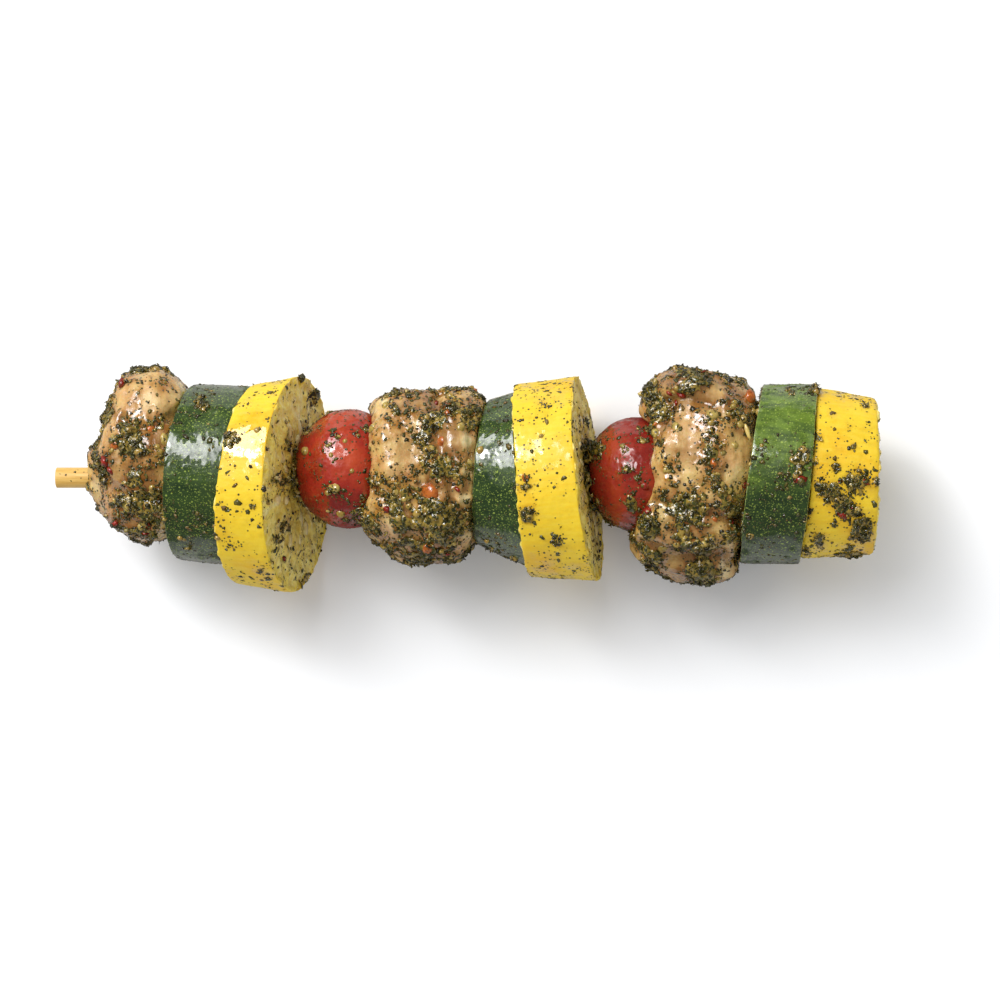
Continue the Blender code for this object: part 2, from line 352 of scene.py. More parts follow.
HERB_PATCHES = rows_of(
    Patch, (128, 442, 20, 1.5), (108, 458, 9, 1.1), (112, 504, 14, 0.6), (138, 512, 24, 1.3),
    (152, 465, 12, 0.8), (155, 516, 22, 1.1), (118, 384, 6, 1.0), (181, 395, 8, 0.6), (184, 406, 12, 0.75),
    (212, 402, 9, 0.55), (231, 440, 8, 1.7), (227, 474, 4, 0.7), (252, 507, 4, 0.9), (222, 502, 5, 0.6),
    (262, 525, 5, 0.7), (233, 548, 5, 0.4), (301, 376, 5, 1.5), (274, 392, 7, 0.5), (262, 577, 12, 0.6),
    (306, 578, 9, 1.0), (280, 480, 12, 0.9), (284, 525, 9, 0.8), (322, 428, 8, 0.6), (331, 488, 6, 1.7),
    (316, 500, 6, 0.55), (366, 500, 9, 0.8), (372, 430, 9, 0.8), (318, 398, 12, 0.9), (433, 420, 12, 1.6),
    (392, 428, 13, 0.5), (396, 500, 16, 1.5), (414, 532, 26, 1.7), (440, 526, 26, 1.9), (446, 468, 14, 1.2),
    (460, 400, 17, 0.85), (424, 558, 20, 1.5), (480, 405, 9, 0.6), (374, 482, 10, 0.9), (466, 510, 14, 0.6),
    (428, 455, 9, 0.6), (524, 484, 9, 1.8), (530, 514, 9, 1.5), (546, 400, 12, 0.5), (556, 540, 9, 0.7),
    (541, 565, 9, 0.5), (557, 487, 3, 0.9), (592, 450, 12, 1.7), (600, 500, 9, 0.6), (592, 550, 13, 0.5),
    (634, 512, 9, 0.9), (622, 480, 7, 0.45), (650, 388, 12, 1.5), (690, 383, 24, 1.3), (664, 408, 9, 0.8),
    (720, 398, 18, 0.85), (656, 440, 8, 0.8), (690, 515, 27, 1.7), (725, 500, 17, 1.3), (650, 530, 14, 1.4),
    (700, 545, 28, 1.1), (655, 560, 12, 1.6), (702, 574, 17, 1.9), (736, 545, 11, 0.6), (662, 490, 9, 0.6),
    (716, 440, 28, 0.4), (694, 485, 9, 0.5), (768, 455, 14, 0.6), (800, 460, 11, 1.4), (766, 500, 11, 0.6),
    (818, 540, 10, 1.5), (830, 490, 12, 1.8), (856, 484, 13, 1.8), (846, 502, 15, 1.6), (862, 530, 11, 1.7),
    (832, 524, 9, 0.75), (838, 446, 6, 0.7), (850, 562, 13, 2.4), (812, 396, 7, 0.9), (845, 440, 10, 0.4),
    (824, 562, 8, 1.0), (848, 427, 5, 1.3), (853, 446, 4, 1.5), (818, 437, 5, 1.3), (832, 413, 5, 1.0),
    (836, 467, 5, 1.3), (816, 388, 5, 1.4), (806, 520, 5, 1.0), (805, 552, 6, 1.2), (818, 415, 4, 1.1),
    (814, 462, 4, 1.1), (865, 407, 5, 0.9), (876, 481, 4, 1.2), (842, 392, 5, 0.8), (820, 487, 6, 1.7),
    (809, 512, 5, 1.2), (828, 539, 5, 0.9), (328, 446, 7, 1.0), (337, 436, 4, 0.9), (346, 452, 4, 0.8),
    (626, 452, 5, 0.8), (310, 432, 8, 0.7), (341, 420, 9, 0.8), (312, 505, 7, 0.7), (358, 440, 6, 0.8),
    (630, 500, 7, 1.2), (600, 520, 7, 0.7), (606, 478, 5, 0.6), (296, 480, 7, 1.5), (288, 445, 8, 0.8),
    (290, 545, 8, 0.5), (262, 440, 4, 0.6), (262, 498, 4, 0.6), (200, 522, 20, 0.55), (190, 546, 9, 0.8),
    (204, 402, 18, 0.65), (180, 420, 7, 0.8), (208, 552, 8, 0.6), (495, 545, 20, 0.65), (480, 470, 5, 0.9),
    (512, 486, 5, 1.1), (500, 400, 14, 0.5), (765, 447, 9, 1.0), (790, 472, 13, 0.6), (772, 520, 11, 0.55),
    (770, 550, 13, 0.5), (790, 392, 9, 0.8), (275, 405, 6, 0.6), (268, 450, 5, 0.9), (270, 500, 5, 1.0),
    (274, 540, 6, 0.9), (300, 555, 8, 0.5), (586, 420, 8, 0.7), (152, 392, 22, 0.5), (166, 380, 9, 0.7),
    (130, 396, 9, 0.6), (344, 425, 12, 0.55), (610, 425, 10, 0.6), (640, 440, 8, 0.7), (600, 470, 9, 0.5),
    (322, 465, 6, 0.6), (136, 478, 16, 0.95), (156, 488, 12, 0.85), (122, 462, 9, 1.0), (372, 455, 7, 0.8),
)  # fmt: skip
PLAIN_PATCHES = rows_of(
    Patch, (150, 398, 22, 0.4), (96, 482, 10, 0.4), (398, 455, 20, 0.75), (418, 400, 12, 0.4),
    (448, 445, 9, 0.4), (468, 440, 10, 0.6), (388, 520, 10, 0.5), (680, 455, 18, 0.45), (735, 465, 14, 0.5),
    (655, 545, 7, 0.6), (470, 545, 8, 0.5), (700, 425, 12, 0.3), (196, 470, 26, 0.7), (500, 480, 24, 0.8),
    (550, 450, 22, 0.6), (245, 480, 24, 0.4), (840, 425, 26, 0.4), (780, 420, 20, 0.7), (350, 468, 13, 0.7),
    (612, 440, 12, 0.4),
)  # fmt: skip
WET_PATCHES = rows_of(
    Patch, (202, 448, 12, 0.6), (192, 540, 24, 0.6), (502, 455, 20, 0.6), (498, 536, 24, 0.6),
    (245, 434, 26, 0.8), (325, 450, 12, 0.9), (332, 490, 9, 0.8), (362, 468, 8, 0.8), (539, 442, 4, 0.9),
    (556, 396, 10, 0.5), (609, 452, 5, 0.9), (642, 470, 10, 0.9), (606, 440, 8, 0.6), (768, 436, 6, 0.5),
    (772, 548, 22, 1.0), (150, 458, 20, 1.0), (165, 420, 8, 0.6), (380, 490, 14, 0.9), (445, 408, 14, 0.5),
    (470, 440, 9, 0.8), (430, 505, 22, 0.9), (735, 400, 17, 0.9), (690, 520, 30, 0.9), (655, 440, 9, 0.8),
    (745, 430, 8, 0.7), (390, 405, 8, 0.7), (700, 560, 26, 0.8), (130, 520, 26, 0.7), (680, 468, 5, 0.8),
    (845, 490, 16, 0.6), (800, 462, 12, 0.8), (140, 482, 18, 0.8),
)  # fmt: skip
DRY_PATCHES = rows_of(
    Patch, (146, 402, 22, 0.85), (690, 432, 22, 0.75), (396, 440, 22, 0.6), (434, 436, 12, 0.5),
    (628, 456, 11, 0.7), (338, 470, 9, 0.5), (725, 455, 18, 0.5), (552, 440, 18, 0.7), (672, 434, 11, 0.7),
    (699, 412, 12, 0.6), (707, 456, 10, 0.6),
)  # fmt: skip
CLUMPING = 5.5 * MM
FINE_CLUMPING = 1.7 * MM
WET_AREAS = 8 * MM
SHOWN_SOON = 4


def waves(points, size):
    """Smooth noise at each point, from -1 to 1, in lumps of about this size."""
    return np.array([noise.noise(Vector(point) / size) for point in points])


def in_photo(upness):
    """How far each point is among those that the photo shows, from 0 to 1."""
    return np.clip(upness * SHOWN_SOON, 0, 1)


def patch_weights(across, down, patch):
    far = ((across - patch.across) ** 2 + (down - patch.down) ** 2) / patch.reach**2
    return patch.strength * np.exp(-far)


def marinade(points, upness, usual):
    """How thickly the marinade lies at each point, from 0 to about 1.5.

    usual is what this food holds on the sides that the photo doesn't show, and upness is how far
    each point faces the camera.
    """
    points = np.asarray(points)
    across, down = photo_places(points)
    coarse = waves(points, CLUMPING)
    fine = waves(points, FINE_CLUMPING)
    amount = usual * np.clip(0.85 + 1.7 * coarse + 0.9 * fine, 0, 2.4)
    shown = in_photo(upness)
    gathered = np.zeros(len(points))
    for patch in HERB_PATCHES:
        gathered = np.maximum(gathered, patch_weights(across, down, patch))
    amount = np.maximum(amount, shown * gathered * np.clip(1 + 0.9 * coarse + 0.9 * fine, 0.15, 1.8))
    for patch in PLAIN_PATCHES:
        amount *= 1 - shown * patch_weights(across, down, patch)
    return amount


def wetness(points, upness, usual):
    """How wet each point looks, from 0 to 1: oil and juice stand on some places and not on others."""
    across, down = photo_places(points)
    wet = usual * np.clip(1 + 1.3 * waves(points, WET_AREAS), 0, 2)
    shown = in_photo(upness)
    for patch in WET_PATCHES:
        wet = np.maximum(wet, shown * patch_weights(across, down, patch))
    for patch in DRY_PATCHES:
        wet *= 1 - shown * patch_weights(across, down, patch)
    return np.clip(wet, 0, 1)


def vertex_arrays(piece):
    count = len(piece.data.vertices)
    places = np.empty(count * 3, np.float32)
    normals = np.empty(count * 3, np.float32)
    piece.data.vertices.foreach_get("co", places)
    piece.data.vertices.foreach_get("normal", normals)
    return places.reshape(-1, 3), normals.reshape(-1, 3)


def write_values(piece, name, values, kind="FLOAT"):
    """Stores a number or a vector for each point of a mesh, where its material reads it."""
    stored = piece.data.attributes.new(name, kind, "POINT")
    field = "value" if kind == "FLOAT" else "vector"
    stored.data.foreach_set(field, np.asarray(values, np.float32).ravel())


def rest_on_table(piece):
    """Flattens what would sink into the table."""
    for vertex in piece.data.vertices:
        vertex.co.z = max(vertex.co.z, 0)


def rub_in(piece, usual, usual_wet):
    """Stores how thickly the marinade lies on a piece, and how wet the piece looks."""
    rest_on_table(piece)
    places, normals = vertex_arrays(piece)
    write_values(piece, "marinade", marinade(places, normals[:, 2], usual))
    write_values(piece, "wet", wetness(places, normals[:, 2], usual_wet))


def stored_value(tree, name):
    """A value that write_values stored on the piece."""
    return shader_node(tree, "Attribute", attribute_name=name).outputs["Fac"]


def make_stain_group():
    """Oil and fine herb dust on a food: it darkens the colour, wets the surface and ripples it."""
    group = bpy.data.node_groups.new("marinade_stain", "ShaderNodeTree")
    for name, kind in (("Colour", "Color"), ("Vector", "Vector"), ("Dust", "Float"), ("Tint", "Float")):
        group.interface.new_socket(name, in_out="INPUT", socket_type="NodeSocket" + kind)
    for name, kind in (("Colour", "Color"), ("Roughness", "Float"), ("Film", "Float"), ("Height", "Float")):
        group.interface.new_socket(name, in_out="OUTPUT", socket_type="NodeSocket" + kind)
    given = group.nodes.new("NodeGroupInput").outputs
    result = group.nodes.new("NodeGroupOutput").inputs
    amount = stored_value(group, "marinade")
    mottle = noise_value(group, given["Vector"], 380, 3, 0.6)
    film = noise_value(group, given["Vector"], 850, 2, 0.5)
    oily = between(group, maths(group, "ADD", amount, maths(group, "MULTIPLY", mottle, 0.7)), 0.25, 1.25)
    oil = mixed(group, maths(group, "MULTIPLY", oily, given["Tint"]), given["Colour"], OIL_TINT, "MULTIPLY")
    wet = stored_value(group, "wet")
    wet = maths(group, "ADD", wet, maths(group, "MULTIPLY", amount, 0.7))
    uneven = maths(group, "ADD", maths(group, "MULTIPLY", mottle, 1.7), maths(group, "MULTIPLY", film, 0.7))
    wet = maths(group, "ADD", wet, maths(group, "SUBTRACT", uneven, 1.2))
    cells = shader_node(group, "TexVoronoi", {"Vector": given["Vector"], "Scale": 1700.0})
    chance = shader_node(group, "SeparateColor", {0: cells.outputs["Color"]}).outputs[0]
    fewer = maths(group, "SUBTRACT", 1.0, maths(group, "MULTIPLY", amount, given["Dust"]))
    there = between(group, maths(group, "SUBTRACT", chance, fewer), -0.02, 0.05)
    grain = between(group, cells.outputs["Distance"], 0.32, 0.5, 1.0, 0.0)
    dust = maths(group, "MULTIPLY", there, grain)
    group.links.new(mixed(group, dust, oil, HERB_DUST), result["Colour"])
    group.links.new(between(group, wet, 0.1, 0.9, 0.5, 0.2), result["Roughness"])
    group.links.new(between(group, wet, 0.2, 0.7), result["Film"])
    group.links.new(maths(group, "ADD", maths(group, "MULTIPLY", dust, 0.5), film), result["Height"])
    return group


OIL_TINT = (0.64, 0.43, 0.14, 1)
HERB_DUST = (0.060, 0.055, 0.012, 1)
stain_group = make_stain_group()


def stained(tree, colour, vector, dust, tint):
    made = shader_node(tree, "Group", node_tree=stain_group)
    tree.links.new(colour, made.inputs["Colour"])
    tree.links.new(vector, made.inputs["Vector"])
    made.inputs["Dust"].default_value = dust
    made.inputs["Tint"].default_value = tint
    return made.outputs


FILM_ROUGHNESS = 0.05
FILM_IOR = 1.75


def finish_wet(tree, shader, stain, ripple, gloss, relief=None):
    """Puts a stained colour on a shader, with the film of oil and its ripples on it."""
    tree.links.new(stain["Colour"], shader.inputs["Base Color"])
    tree.links.new(stain["Roughness"], shader.inputs["Roughness"])
    tree.links.new(stain["Film"], shader.inputs["Coat Weight"])
    shader.inputs["Coat Roughness"].default_value = FILM_ROUGHNESS
    shader.inputs["Coat IOR"].default_value = FILM_IOR
    shader.inputs["Specular IOR Level"].default_value = gloss
    height = stain["Height"] if relief is None else maths(tree, "ADD", stain["Height"], relief)
    bumped(tree, shader, height, ripple)


# Zucchini slices
# Three slices of young zucchini, knife cut about 13 mm thick and a little askew, with their thin
# dark skin left on. The second is a wedge and narrows to its left; the third has a paler side.

Cut = namedtuple("Cut", "x y z radius turn lean")
Food = namedtuple("Food", "piece usual cut_usual share", defaults=(1.0,))
SLICE_SIDES = 32
SLICE_WIDER = 1.007
RINGS_ON_CUT = 3
RING_STEP = 0.21
RIM_INSET = 0.5 * MM
SWELL_SIZE = 16 * MM
CRINKLE_SIZE = 3 * MM
CRINKLE_DEPTH = 0.15 * MM
OIL_RIPPLE_SIZE = 0.75 * MM
OIL_RIPPLE_DEPTH = 0.12 * MM
PATTERN_STEP = Vector((0, 71, 37))
PATTERNS_APART = 0.05
SPOKE_DRIFT = 0.3

ZUCCHINI_CUTS = {
    "zucchini_1": (Cut(29.2, 1.1, -0.6, 19.4, -5, 11), Cut(42.2, 0.6, -0.2, 19.8, -6, 13)),
    "zucchini_2": (Cut(94.0, 1.2, 0.2, 16.0, -5, 8), Cut(102.6, -0.5, 0.2, 19.4, 4.2, 5)),
    "zucchini_3": (Cut(152.9, 0.8, -0.6, 19.8, -7.4, 7), Cut(165.0, 0.9, 0.0, 19.9, -5.3, 3.5)),
}


def cut_place(cut):
    return STICK_START + Vector((cut.x, cut.y, cut.z)) * MM


def cut_turn(cut):
    """The turn of a slice's own axis from X, as a matrix."""
    return Euler((0, -math.radians(cut.lean), math.radians(cut.turn)), "XYZ").to_matrix()


def middle_of(left, right):
    return Cut(*((a + b) / 2 for a, b in zip(left, right)))


def shift(piece, steps):
    """Moves a piece in the space that textures are read in, so that no two pieces match."""
    piece.data.transform(Matrix.Translation(PATTERN_STEP * steps * MM))


def roughen(piece, name, size, depth, kind="CLOUDS", **settings):
    """Moves a piece's surface in and out by a pattern whose lumps have about this size."""
    pattern = bpy.data.textures.new(f"{piece.name}_{name}", kind)
    pattern.noise_scale = size
    apply_modifier(piece, "DISPLACE", texture=pattern, strength=depth, **settings)


def smooth(piece):
    piece.data.polygons.foreach_set("use_smooth", [True] * len(piece.data.polygons))


def sliced(name, left, right, rim, uneven, sunken, seed):
    """A slice between two cuts, with skin round it (slot 0) and flesh on its cut faces (slot 1)."""
    discs = []
    for cut in (left, right):
        upright = cut_turn(cut) @ Matrix.Rotation(math.pi / 2, 3, "Y")
        bpy.ops.mesh.primitive_circle_add(
            vertices=SLICE_SIDES,
            radius=cut.radius * MM * SLICE_WIDER,
            fill_type="NGON",
            location=cut_place(cut),
            rotation=upright.to_euler(),
        )
        discs.append(bpy.context.active_object)
    for disc in discs:
        disc.select_set(True)
    bpy.ops.object.join()
    piece = done(bpy.context.active_object)
    piece.name = name
    edit(piece, "EDGE")
    bpy.ops.mesh.select_all(action="SELECT")
    bpy.ops.mesh.bridge_edge_loops(number_cuts=3, interpolation="LINEAR")
    bpy.ops.mesh.select_all(action="SELECT")
    bpy.ops.mesh.normals_make_consistent(inside=False)
    bpy.ops.mesh.select_mode(type="FACE")
    pick(piece, lambda face: len(face.vertices) > 4)
    bpy.ops.mesh.region_to_loop()
    bpy.ops.mesh.bevel(offset=rim * MM, segments=2, profile=0.6, affect="EDGES")
    bpy.ops.mesh.select_mode(type="FACE")
    pick(piece, lambda face: len(face.vertices) > 4)
    bpy.ops.mesh.inset(thickness=RIM_INSET)
    middle = middle_of(left, right)
    for _ in range(RINGS_ON_CUT):
        bpy.ops.mesh.inset(thickness=middle.radius * MM * RING_STEP)
    bpy.ops.mesh.poke(offset=-sunken * MM)
    done(piece)
    put_in_order(piece)
    axis = cut_turn(middle) @ Vector((1, 0, 0))
    for _ in ("skin", "flesh"):
        piece.data.materials.append(None)
    for face in piece.data.polygons:
        face.material_index = int(abs(face.normal @ axis) > 0.9)
    apply_modifier(piece, "SUBSURF", levels=3, render_levels=3)
    shift(piece, seed)
    roughen(piece, "swell", SWELL_SIZE, uneven * MM)
    roughen(piece, "crinkle", CRINKLE_SIZE, CRINKLE_DEPTH)
    roughen(piece, "oil_ripple", OIL_RIPPLE_SIZE, OIL_RIPPLE_DEPTH)
    shift(piece, -seed)
    write_own_places(piece, middle, seed)
    smooth(piece)
    return piece


def write_own_places(piece, middle, seed):
    """Stores each point's place in the slice's own frame, and how far out it is, for its materials."""
    places, _ = vertex_arrays(piece)
    own = (places - np.array(cut_place(middle))) @ np.array(cut_turn(middle))
    out = np.hypot(own[:, 1], own[:, 2]) / (middle.radius * MM)
    write_values(piece, "own_place", own + np.array([seed * PATTERNS_APART, 0, 0]), "FLOAT_VECTOR")
    write_values(piece, "outward", out)
    far = np.maximum(np.hypot(own[:, 1], own[:, 2]), 1e-6)
    spokes = np.stack([own[:, 1] / far, own[:, 2] / far, out * SPOKE_DRIFT + seed], 1)
    write_values(piece, "spokes", spokes, "FLOAT_VECTOR")


def flesh_group(piece):
    """A vertex group of the cut faces without their rim."""
    group = piece.vertex_groups.new(name="flesh")
    at_skin = set()
    for face in piece.data.polygons:
        if face.material_index == 0:
            at_skin.update(face.vertices)
    inside = [vertex.index for vertex in piece.data.vertices if vertex.index not in at_skin]
    group.add(inside, 1.0, "REPLACE")
    return group.name


def own_attribute(tree, stretch=(1, 1, 1)):
    own = shader_node(tree, "Attribute", attribute_name="own_place").outputs["Vector"]
    return shader_node(tree, "VectorMath", {0: own, 1: stretch}, operation="MULTIPLY").outputs[0]


ZUCCHINI_DARK = (0.012, 0.030, 0.006, 1)
ZUCCHINI_MID = (0.028, 0.058, 0.010, 1)
ZUCCHINI_LIGHT = (0.12, 0.195, 0.018, 1)
ZUCCHINI_FLECK = (0.33, 0.43, 0.07, 1)
FLECK_LAYERS = ((0.80 * MM, 0.10, 0.75), (0.52 * MM, 0.14, 0.6), (0.36 * MM, 0.17, 0.5))


def let_light_in(shader, weight, colour_reach, reach):
    """Lets light through the outer flesh, further in some colours than in others."""
    shader.inputs["Subsurface Weight"].default_value = weight
    shader.inputs["Subsurface Radius"].default_value = colour_reach
    shader.inputs["Subsurface Scale"].default_value = reach


def zucchini_skin():
    """Dark green skin with pale flecks, and where a slice says so a paler upper side."""
    material, tree, shader = new_material("zucchini_skin")
    own = own_attribute(tree)
    mottle = noise_value(tree, own_attribute(tree, (0.3, 1, 1)), 420, 4, 0.65)
    paler = stored_value(tree, "paler")
    dark = colour_ramp(tree, mottle, (0.36, ZUCCHINI_DARK), (0.62, ZUCCHINI_MID))
    light = colour_ramp(tree, mottle, (0.34, ZUCCHINI_MID), (0.58, ZUCCHINI_LIGHT))
    colour = mixed(tree, paler, dark, light)
    for spacing, size, strength in FLECK_LAYERS:
        cells = shader_node(
            tree, "TexVoronoi", {"Vector": own_attribute(tree, (0.85, 1, 1)), "Scale": 1 / spacing}
        )
        chance = shader_node(tree, "SeparateColor", {0: cells.outputs["Color"]}).outputs
        wide = maths(tree, "ADD", maths(tree, "MULTIPLY", chance[1], 0.16), size)
        fleck = between(tree, maths(tree, "SUBTRACT", cells.outputs["Distance"], wide), -0.05, 0.07, 1.0, 0.0)
        bright = maths(tree, "MULTIPLY", between(tree, chance[0], 0.0, 0.8), strength)
        colour = mixed(tree, maths(tree, "MULTIPLY", bright, fleck), colour, ZUCCHINI_FLECK)
    stain = stained(tree, colour, own, 0.4, 0.35)
    finish_wet(tree, shader, stain, ripple=0.09 * MM, gloss=0.4)
    return material


def cut_flesh(name, rim_colour, body_colour, pulp_colour, streak_colour, pulp_edge):
    """A knife cut through a vegetable: firm flesh with pale streaks, a stringy middle, a rim by the skin."""
    material, tree, shader = new_material(name)
    own = own_attribute(tree)
    across_cut = own_attribute(tree, (0.25, 1, 1))
    out = stored_value(tree, "outward")
    wander = maths(tree, "SUBTRACT", noise_value(tree, own, 260, 4), 0.5)
    out = maths(tree, "ADD", out, maths(tree, "MULTIPLY", wander, 0.25))
    colour = mixed(tree, between(tree, out, 0.90, 0.97), body_colour, rim_colour)
    colour = mixed(tree, between(tree, out, pulp_edge + 0.1, pulp_edge - 0.1), colour, pulp_colour)
    spokes = shader_node(tree, "Attribute", attribute_name="spokes").outputs["Vector"]
    streaks = noise_value(tree, spokes, 11, 4, 0.6)
    paler = between(tree, out, 0.25, 0.6, 0.0, 0.55)
    streaked = maths(tree, "MULTIPLY", between(tree, streaks, 0.46, 0.66), paler)
    colour = mixed(tree, streaked, colour, streak_colour)
    strands = noise_value(tree, across_cut, 800, 5, 0.7)
    colour = mixed(tree, between(tree, strands, 0.60, 0.34, 0.0, 0.5), colour, pulp_colour, "MULTIPLY")
    stain = stained(tree, colour, own, 0.2, 0.3)
    let_light_in(shader, weight=0.25, colour_reach=(1.0, 0.8, 0.3), reach=1.2 * MM)
    finish_wet(tree, shader, stain, ripple=0.35 * MM, gloss=0.45, relief=strands)
    return material


def finish_slice(piece, node, skin, flesh, usual, cut_usual, wet):
    piece.data.materials[0] = skin
    piece.data.materials[1] = flesh
    rub_in(piece, usual, wet)
    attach(piece, "root")
    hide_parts(node)
    foods.append(Food(piece, usual, cut_usual))


ZUCCHINI_RIM = (0.30, 0.42, 0.08, 1)
ZUCCHINI_BODY = (0.62, 0.64, 0.30, 1)
ZUCCHINI_PULP = (0.50, 0.52, 0.20, 1)
ZUCCHINI_STREAK = (0.74, 0.76, 0.48, 1)
PALER_SIDES = {"zucchini_1": 0.12, "zucchini_2": 0.1, "zucchini_3": 0.95}
PALER_TOWARDS = Vector((0, 0.75, 0.66))
PALER_FROM = 0.42
PALER_OVER = 0.42
PALER_WANDER = 0.18
PALER_LUMPS = 4 * MM
ZUCCHINI_WET = {"zucchini_1": 0.46, "zucchini_2": 0.46, "zucchini_3": 0.36}

foods = []
green_skin = zucchini_skin()
green_flesh = cut_flesh(
    "zucchini_flesh", ZUCCHINI_RIM, ZUCCHINI_BODY, ZUCCHINI_PULP, ZUCCHINI_STREAK, pulp_edge=0.55
)
for number, (node, cuts) in enumerate(ZUCCHINI_CUTS.items(), 1):
    piece = sliced(f"{node}_slice", *cuts, rim=0.35, uneven=0.9, sunken=0.4, seed=number)
    places, _ = vertex_arrays(piece)
    from_middle = places - np.array(cut_place(middle_of(*cuts)))
    towards = from_middle @ np.array(PALER_TOWARDS) / (cuts[0].radius * MM)
    wander = waves(places, PALER_LUMPS) * PALER_WANDER
    share = np.clip((towards + wander - PALER_FROM) / PALER_OVER, 0, 1)
    write_values(piece, "paler", PALER_SIDES[node] * share)
    wet = ZUCCHINI_WET[node]
    finish_slice(piece, node, green_skin, green_flesh, usual=0.2, cut_usual=0.4, wet=wet)


# Yellow squash slices
# Three slices of yellow summer squash, wider than the zucchini beside them. The right cut faces
# of the first two show: soft, stringy flesh that holds more of the marinade than the skin does.

SQUASH_CUTS = {
    "squash_1": (Cut(42.2, -1.3, -0.9, 22.3, -6, 13), Cut(53.0, -1.3, -0.3, 23.8, -2.2, 14.2)),
    "squash_2": (Cut(102.6, -0.5, -1.5, 21.2, 4.2, 5), Cut(116.9, -0.1, -0.9, 22.8, 5.8, 8.5)),
    "squash_3": (Cut(165.0, 1.1, 0.0, 18.6, -5.3, 3.5), Cut(179.8, 0.3, 0.6, 17.1, -1.2, 3.5)),
}
SQUASH_YELLOW = (0.765, 0.535, 0.022, 1)
SQUASH_DEEP = (0.75, 0.43, 0.011, 1)
SQUASH_PALE = (0.78, 0.60, 0.078, 1)
SQUASH_RIM = (0.86, 0.66, 0.06, 1)
SQUASH_BODY = (0.92, 0.76, 0.18, 1)
SQUASH_PULP = (0.80, 0.60, 0.11, 1)
SQUASH_STREAK = (0.95, 0.86, 0.44, 1)
KNIFE_RIM = 0.45
ROUNDED_RIM = 1.1
PULP_STRANDS = 2.1 * MM
PULP_RELIEF = 1.1 * MM
PULP_SUNK = 0.6


def squash_skin():
    """Smooth yellow skin with fine streaks along the fruit and deeper patches."""
    material, tree, shader = new_material("squash_skin")
    own = own_attribute(tree)
    streaks = noise_value(tree, own_attribute(tree, (0.11, 1, 1)), 1300, 3, 0.6)
    patches = noise_value(tree, own, 75, 3, 0.5)
    colour = mixed(tree, between(tree, patches, 0.46, 0.70, 0.0, 0.9), SQUASH_YELLOW, SQUASH_DEEP)
    colour = mixed(tree, between(tree, streaks, 0.42, 0.72, 0.0, 0.3), colour, SQUASH_PALE)
    colour = mixed(tree, between(tree, streaks, 0.50, 0.30, 0.0, 0.25), colour, SQUASH_DEEP)
    stain = stained(tree, colour, own, 0.55, 0.4)
    let_light_in(shader, weight=0.12, colour_reach=(1.0, 0.7, 0.1), reach=1.5 * MM)
    finish_wet(tree, shader, stain, ripple=0.09 * MM, gloss=0.3)
    return material


yellow_skin = squash_skin()
yellow_flesh = cut_flesh("squash_flesh", SQUASH_RIM, SQUASH_BODY, SQUASH_PULP, SQUASH_STREAK, pulp_edge=0.62)
for number, (node, cuts) in enumerate(SQUASH_CUTS.items(), 1):
    rim = ROUNDED_RIM if node == "squash_3" else KNIFE_RIM
    piece = sliced(f"{node}_slice", *cuts, rim=rim, uneven=1.0, sunken=0.5, seed=number + 4)
    inner = flesh_group(piece)
    roughen(piece, "strings", PULP_STRANDS, PULP_RELIEF, "STUCCI", mid_level=PULP_SUNK, vertex_group=inner)
    finish_slice(piece, node, yellow_skin, yellow_flesh, usual=0.2, cut_usual=0.24, wet=0.12)


# Cherry tomatoes
# Two small tomatoes pushed on through stem end and tip, where the skin is drawn in by the stick.

TOMATOES = {
    "tomato_1": (Vector((64.2, 2.0, 0.3)), 12.0, 13.1),
    "tomato_2": (Vector((127.6, 0.7, 0.2)), 11.4, 12.6),
}
TOMATO_RED = (0.32, 0.019, 0.007, 1)
TOMATO_DEEP = (0.20, 0.010, 0.005, 1)
TOMATO_WARM = (0.43, 0.050, 0.011, 1)
TOMATO_SEGMENTS = 160
TOMATO_RINGS = 120
DRAWN_IN = 1.1 * MM
DRAWN_REACH = 5.5 * MM
DENT_SIZE = 9 * MM
DENT_DEPTH = 0.7 * MM
BEAD_SIZE = 0.9 * MM
BEAD_DEPTH = 0.30 * MM
TOMATO_USUAL = 0.34
TOMATO_WET = 0.3
# Painted shade: the second tomato's skin is darkened for the shadow it sits in between its neighbours.
TOMATO_PAINTED_SHADE = {"tomato_1": (1, 1, 1, 1), "tomato_2": (0.80, 0.76, 0.85, 1)}


def tomato_skin(name, shade):
    material, tree, shader = new_material(name)
    own = own_space(tree)
    patches = noise_value(tree, own, 110, 3, 0.5)
    grain = noise_value(tree, own, 1500, 2, 0.5)
    colour = colour_ramp(tree, patches, (0.34, TOMATO_DEEP), (0.50, TOMATO_RED), (0.68, TOMATO_WARM))
    colour = mixed(tree, between(tree, grain, 0.5, 0.75, 0.0, 0.3), colour, TOMATO_WARM)
    # shade multiplies in painted shade, which darkens the tomato that sits in shadow.
    colour = mixed(tree, 1.0, colour, shade, "MULTIPLY")
    stain = stained(tree, colour, own, 0.45, 0.45)
    let_light_in(shader, weight=0.12, colour_reach=(1.0, 0.15, 0.05), reach=1.5 * MM)
    finish_wet(tree, shader, stain, ripple=0.2 * MM, gloss=0.3)
    return material


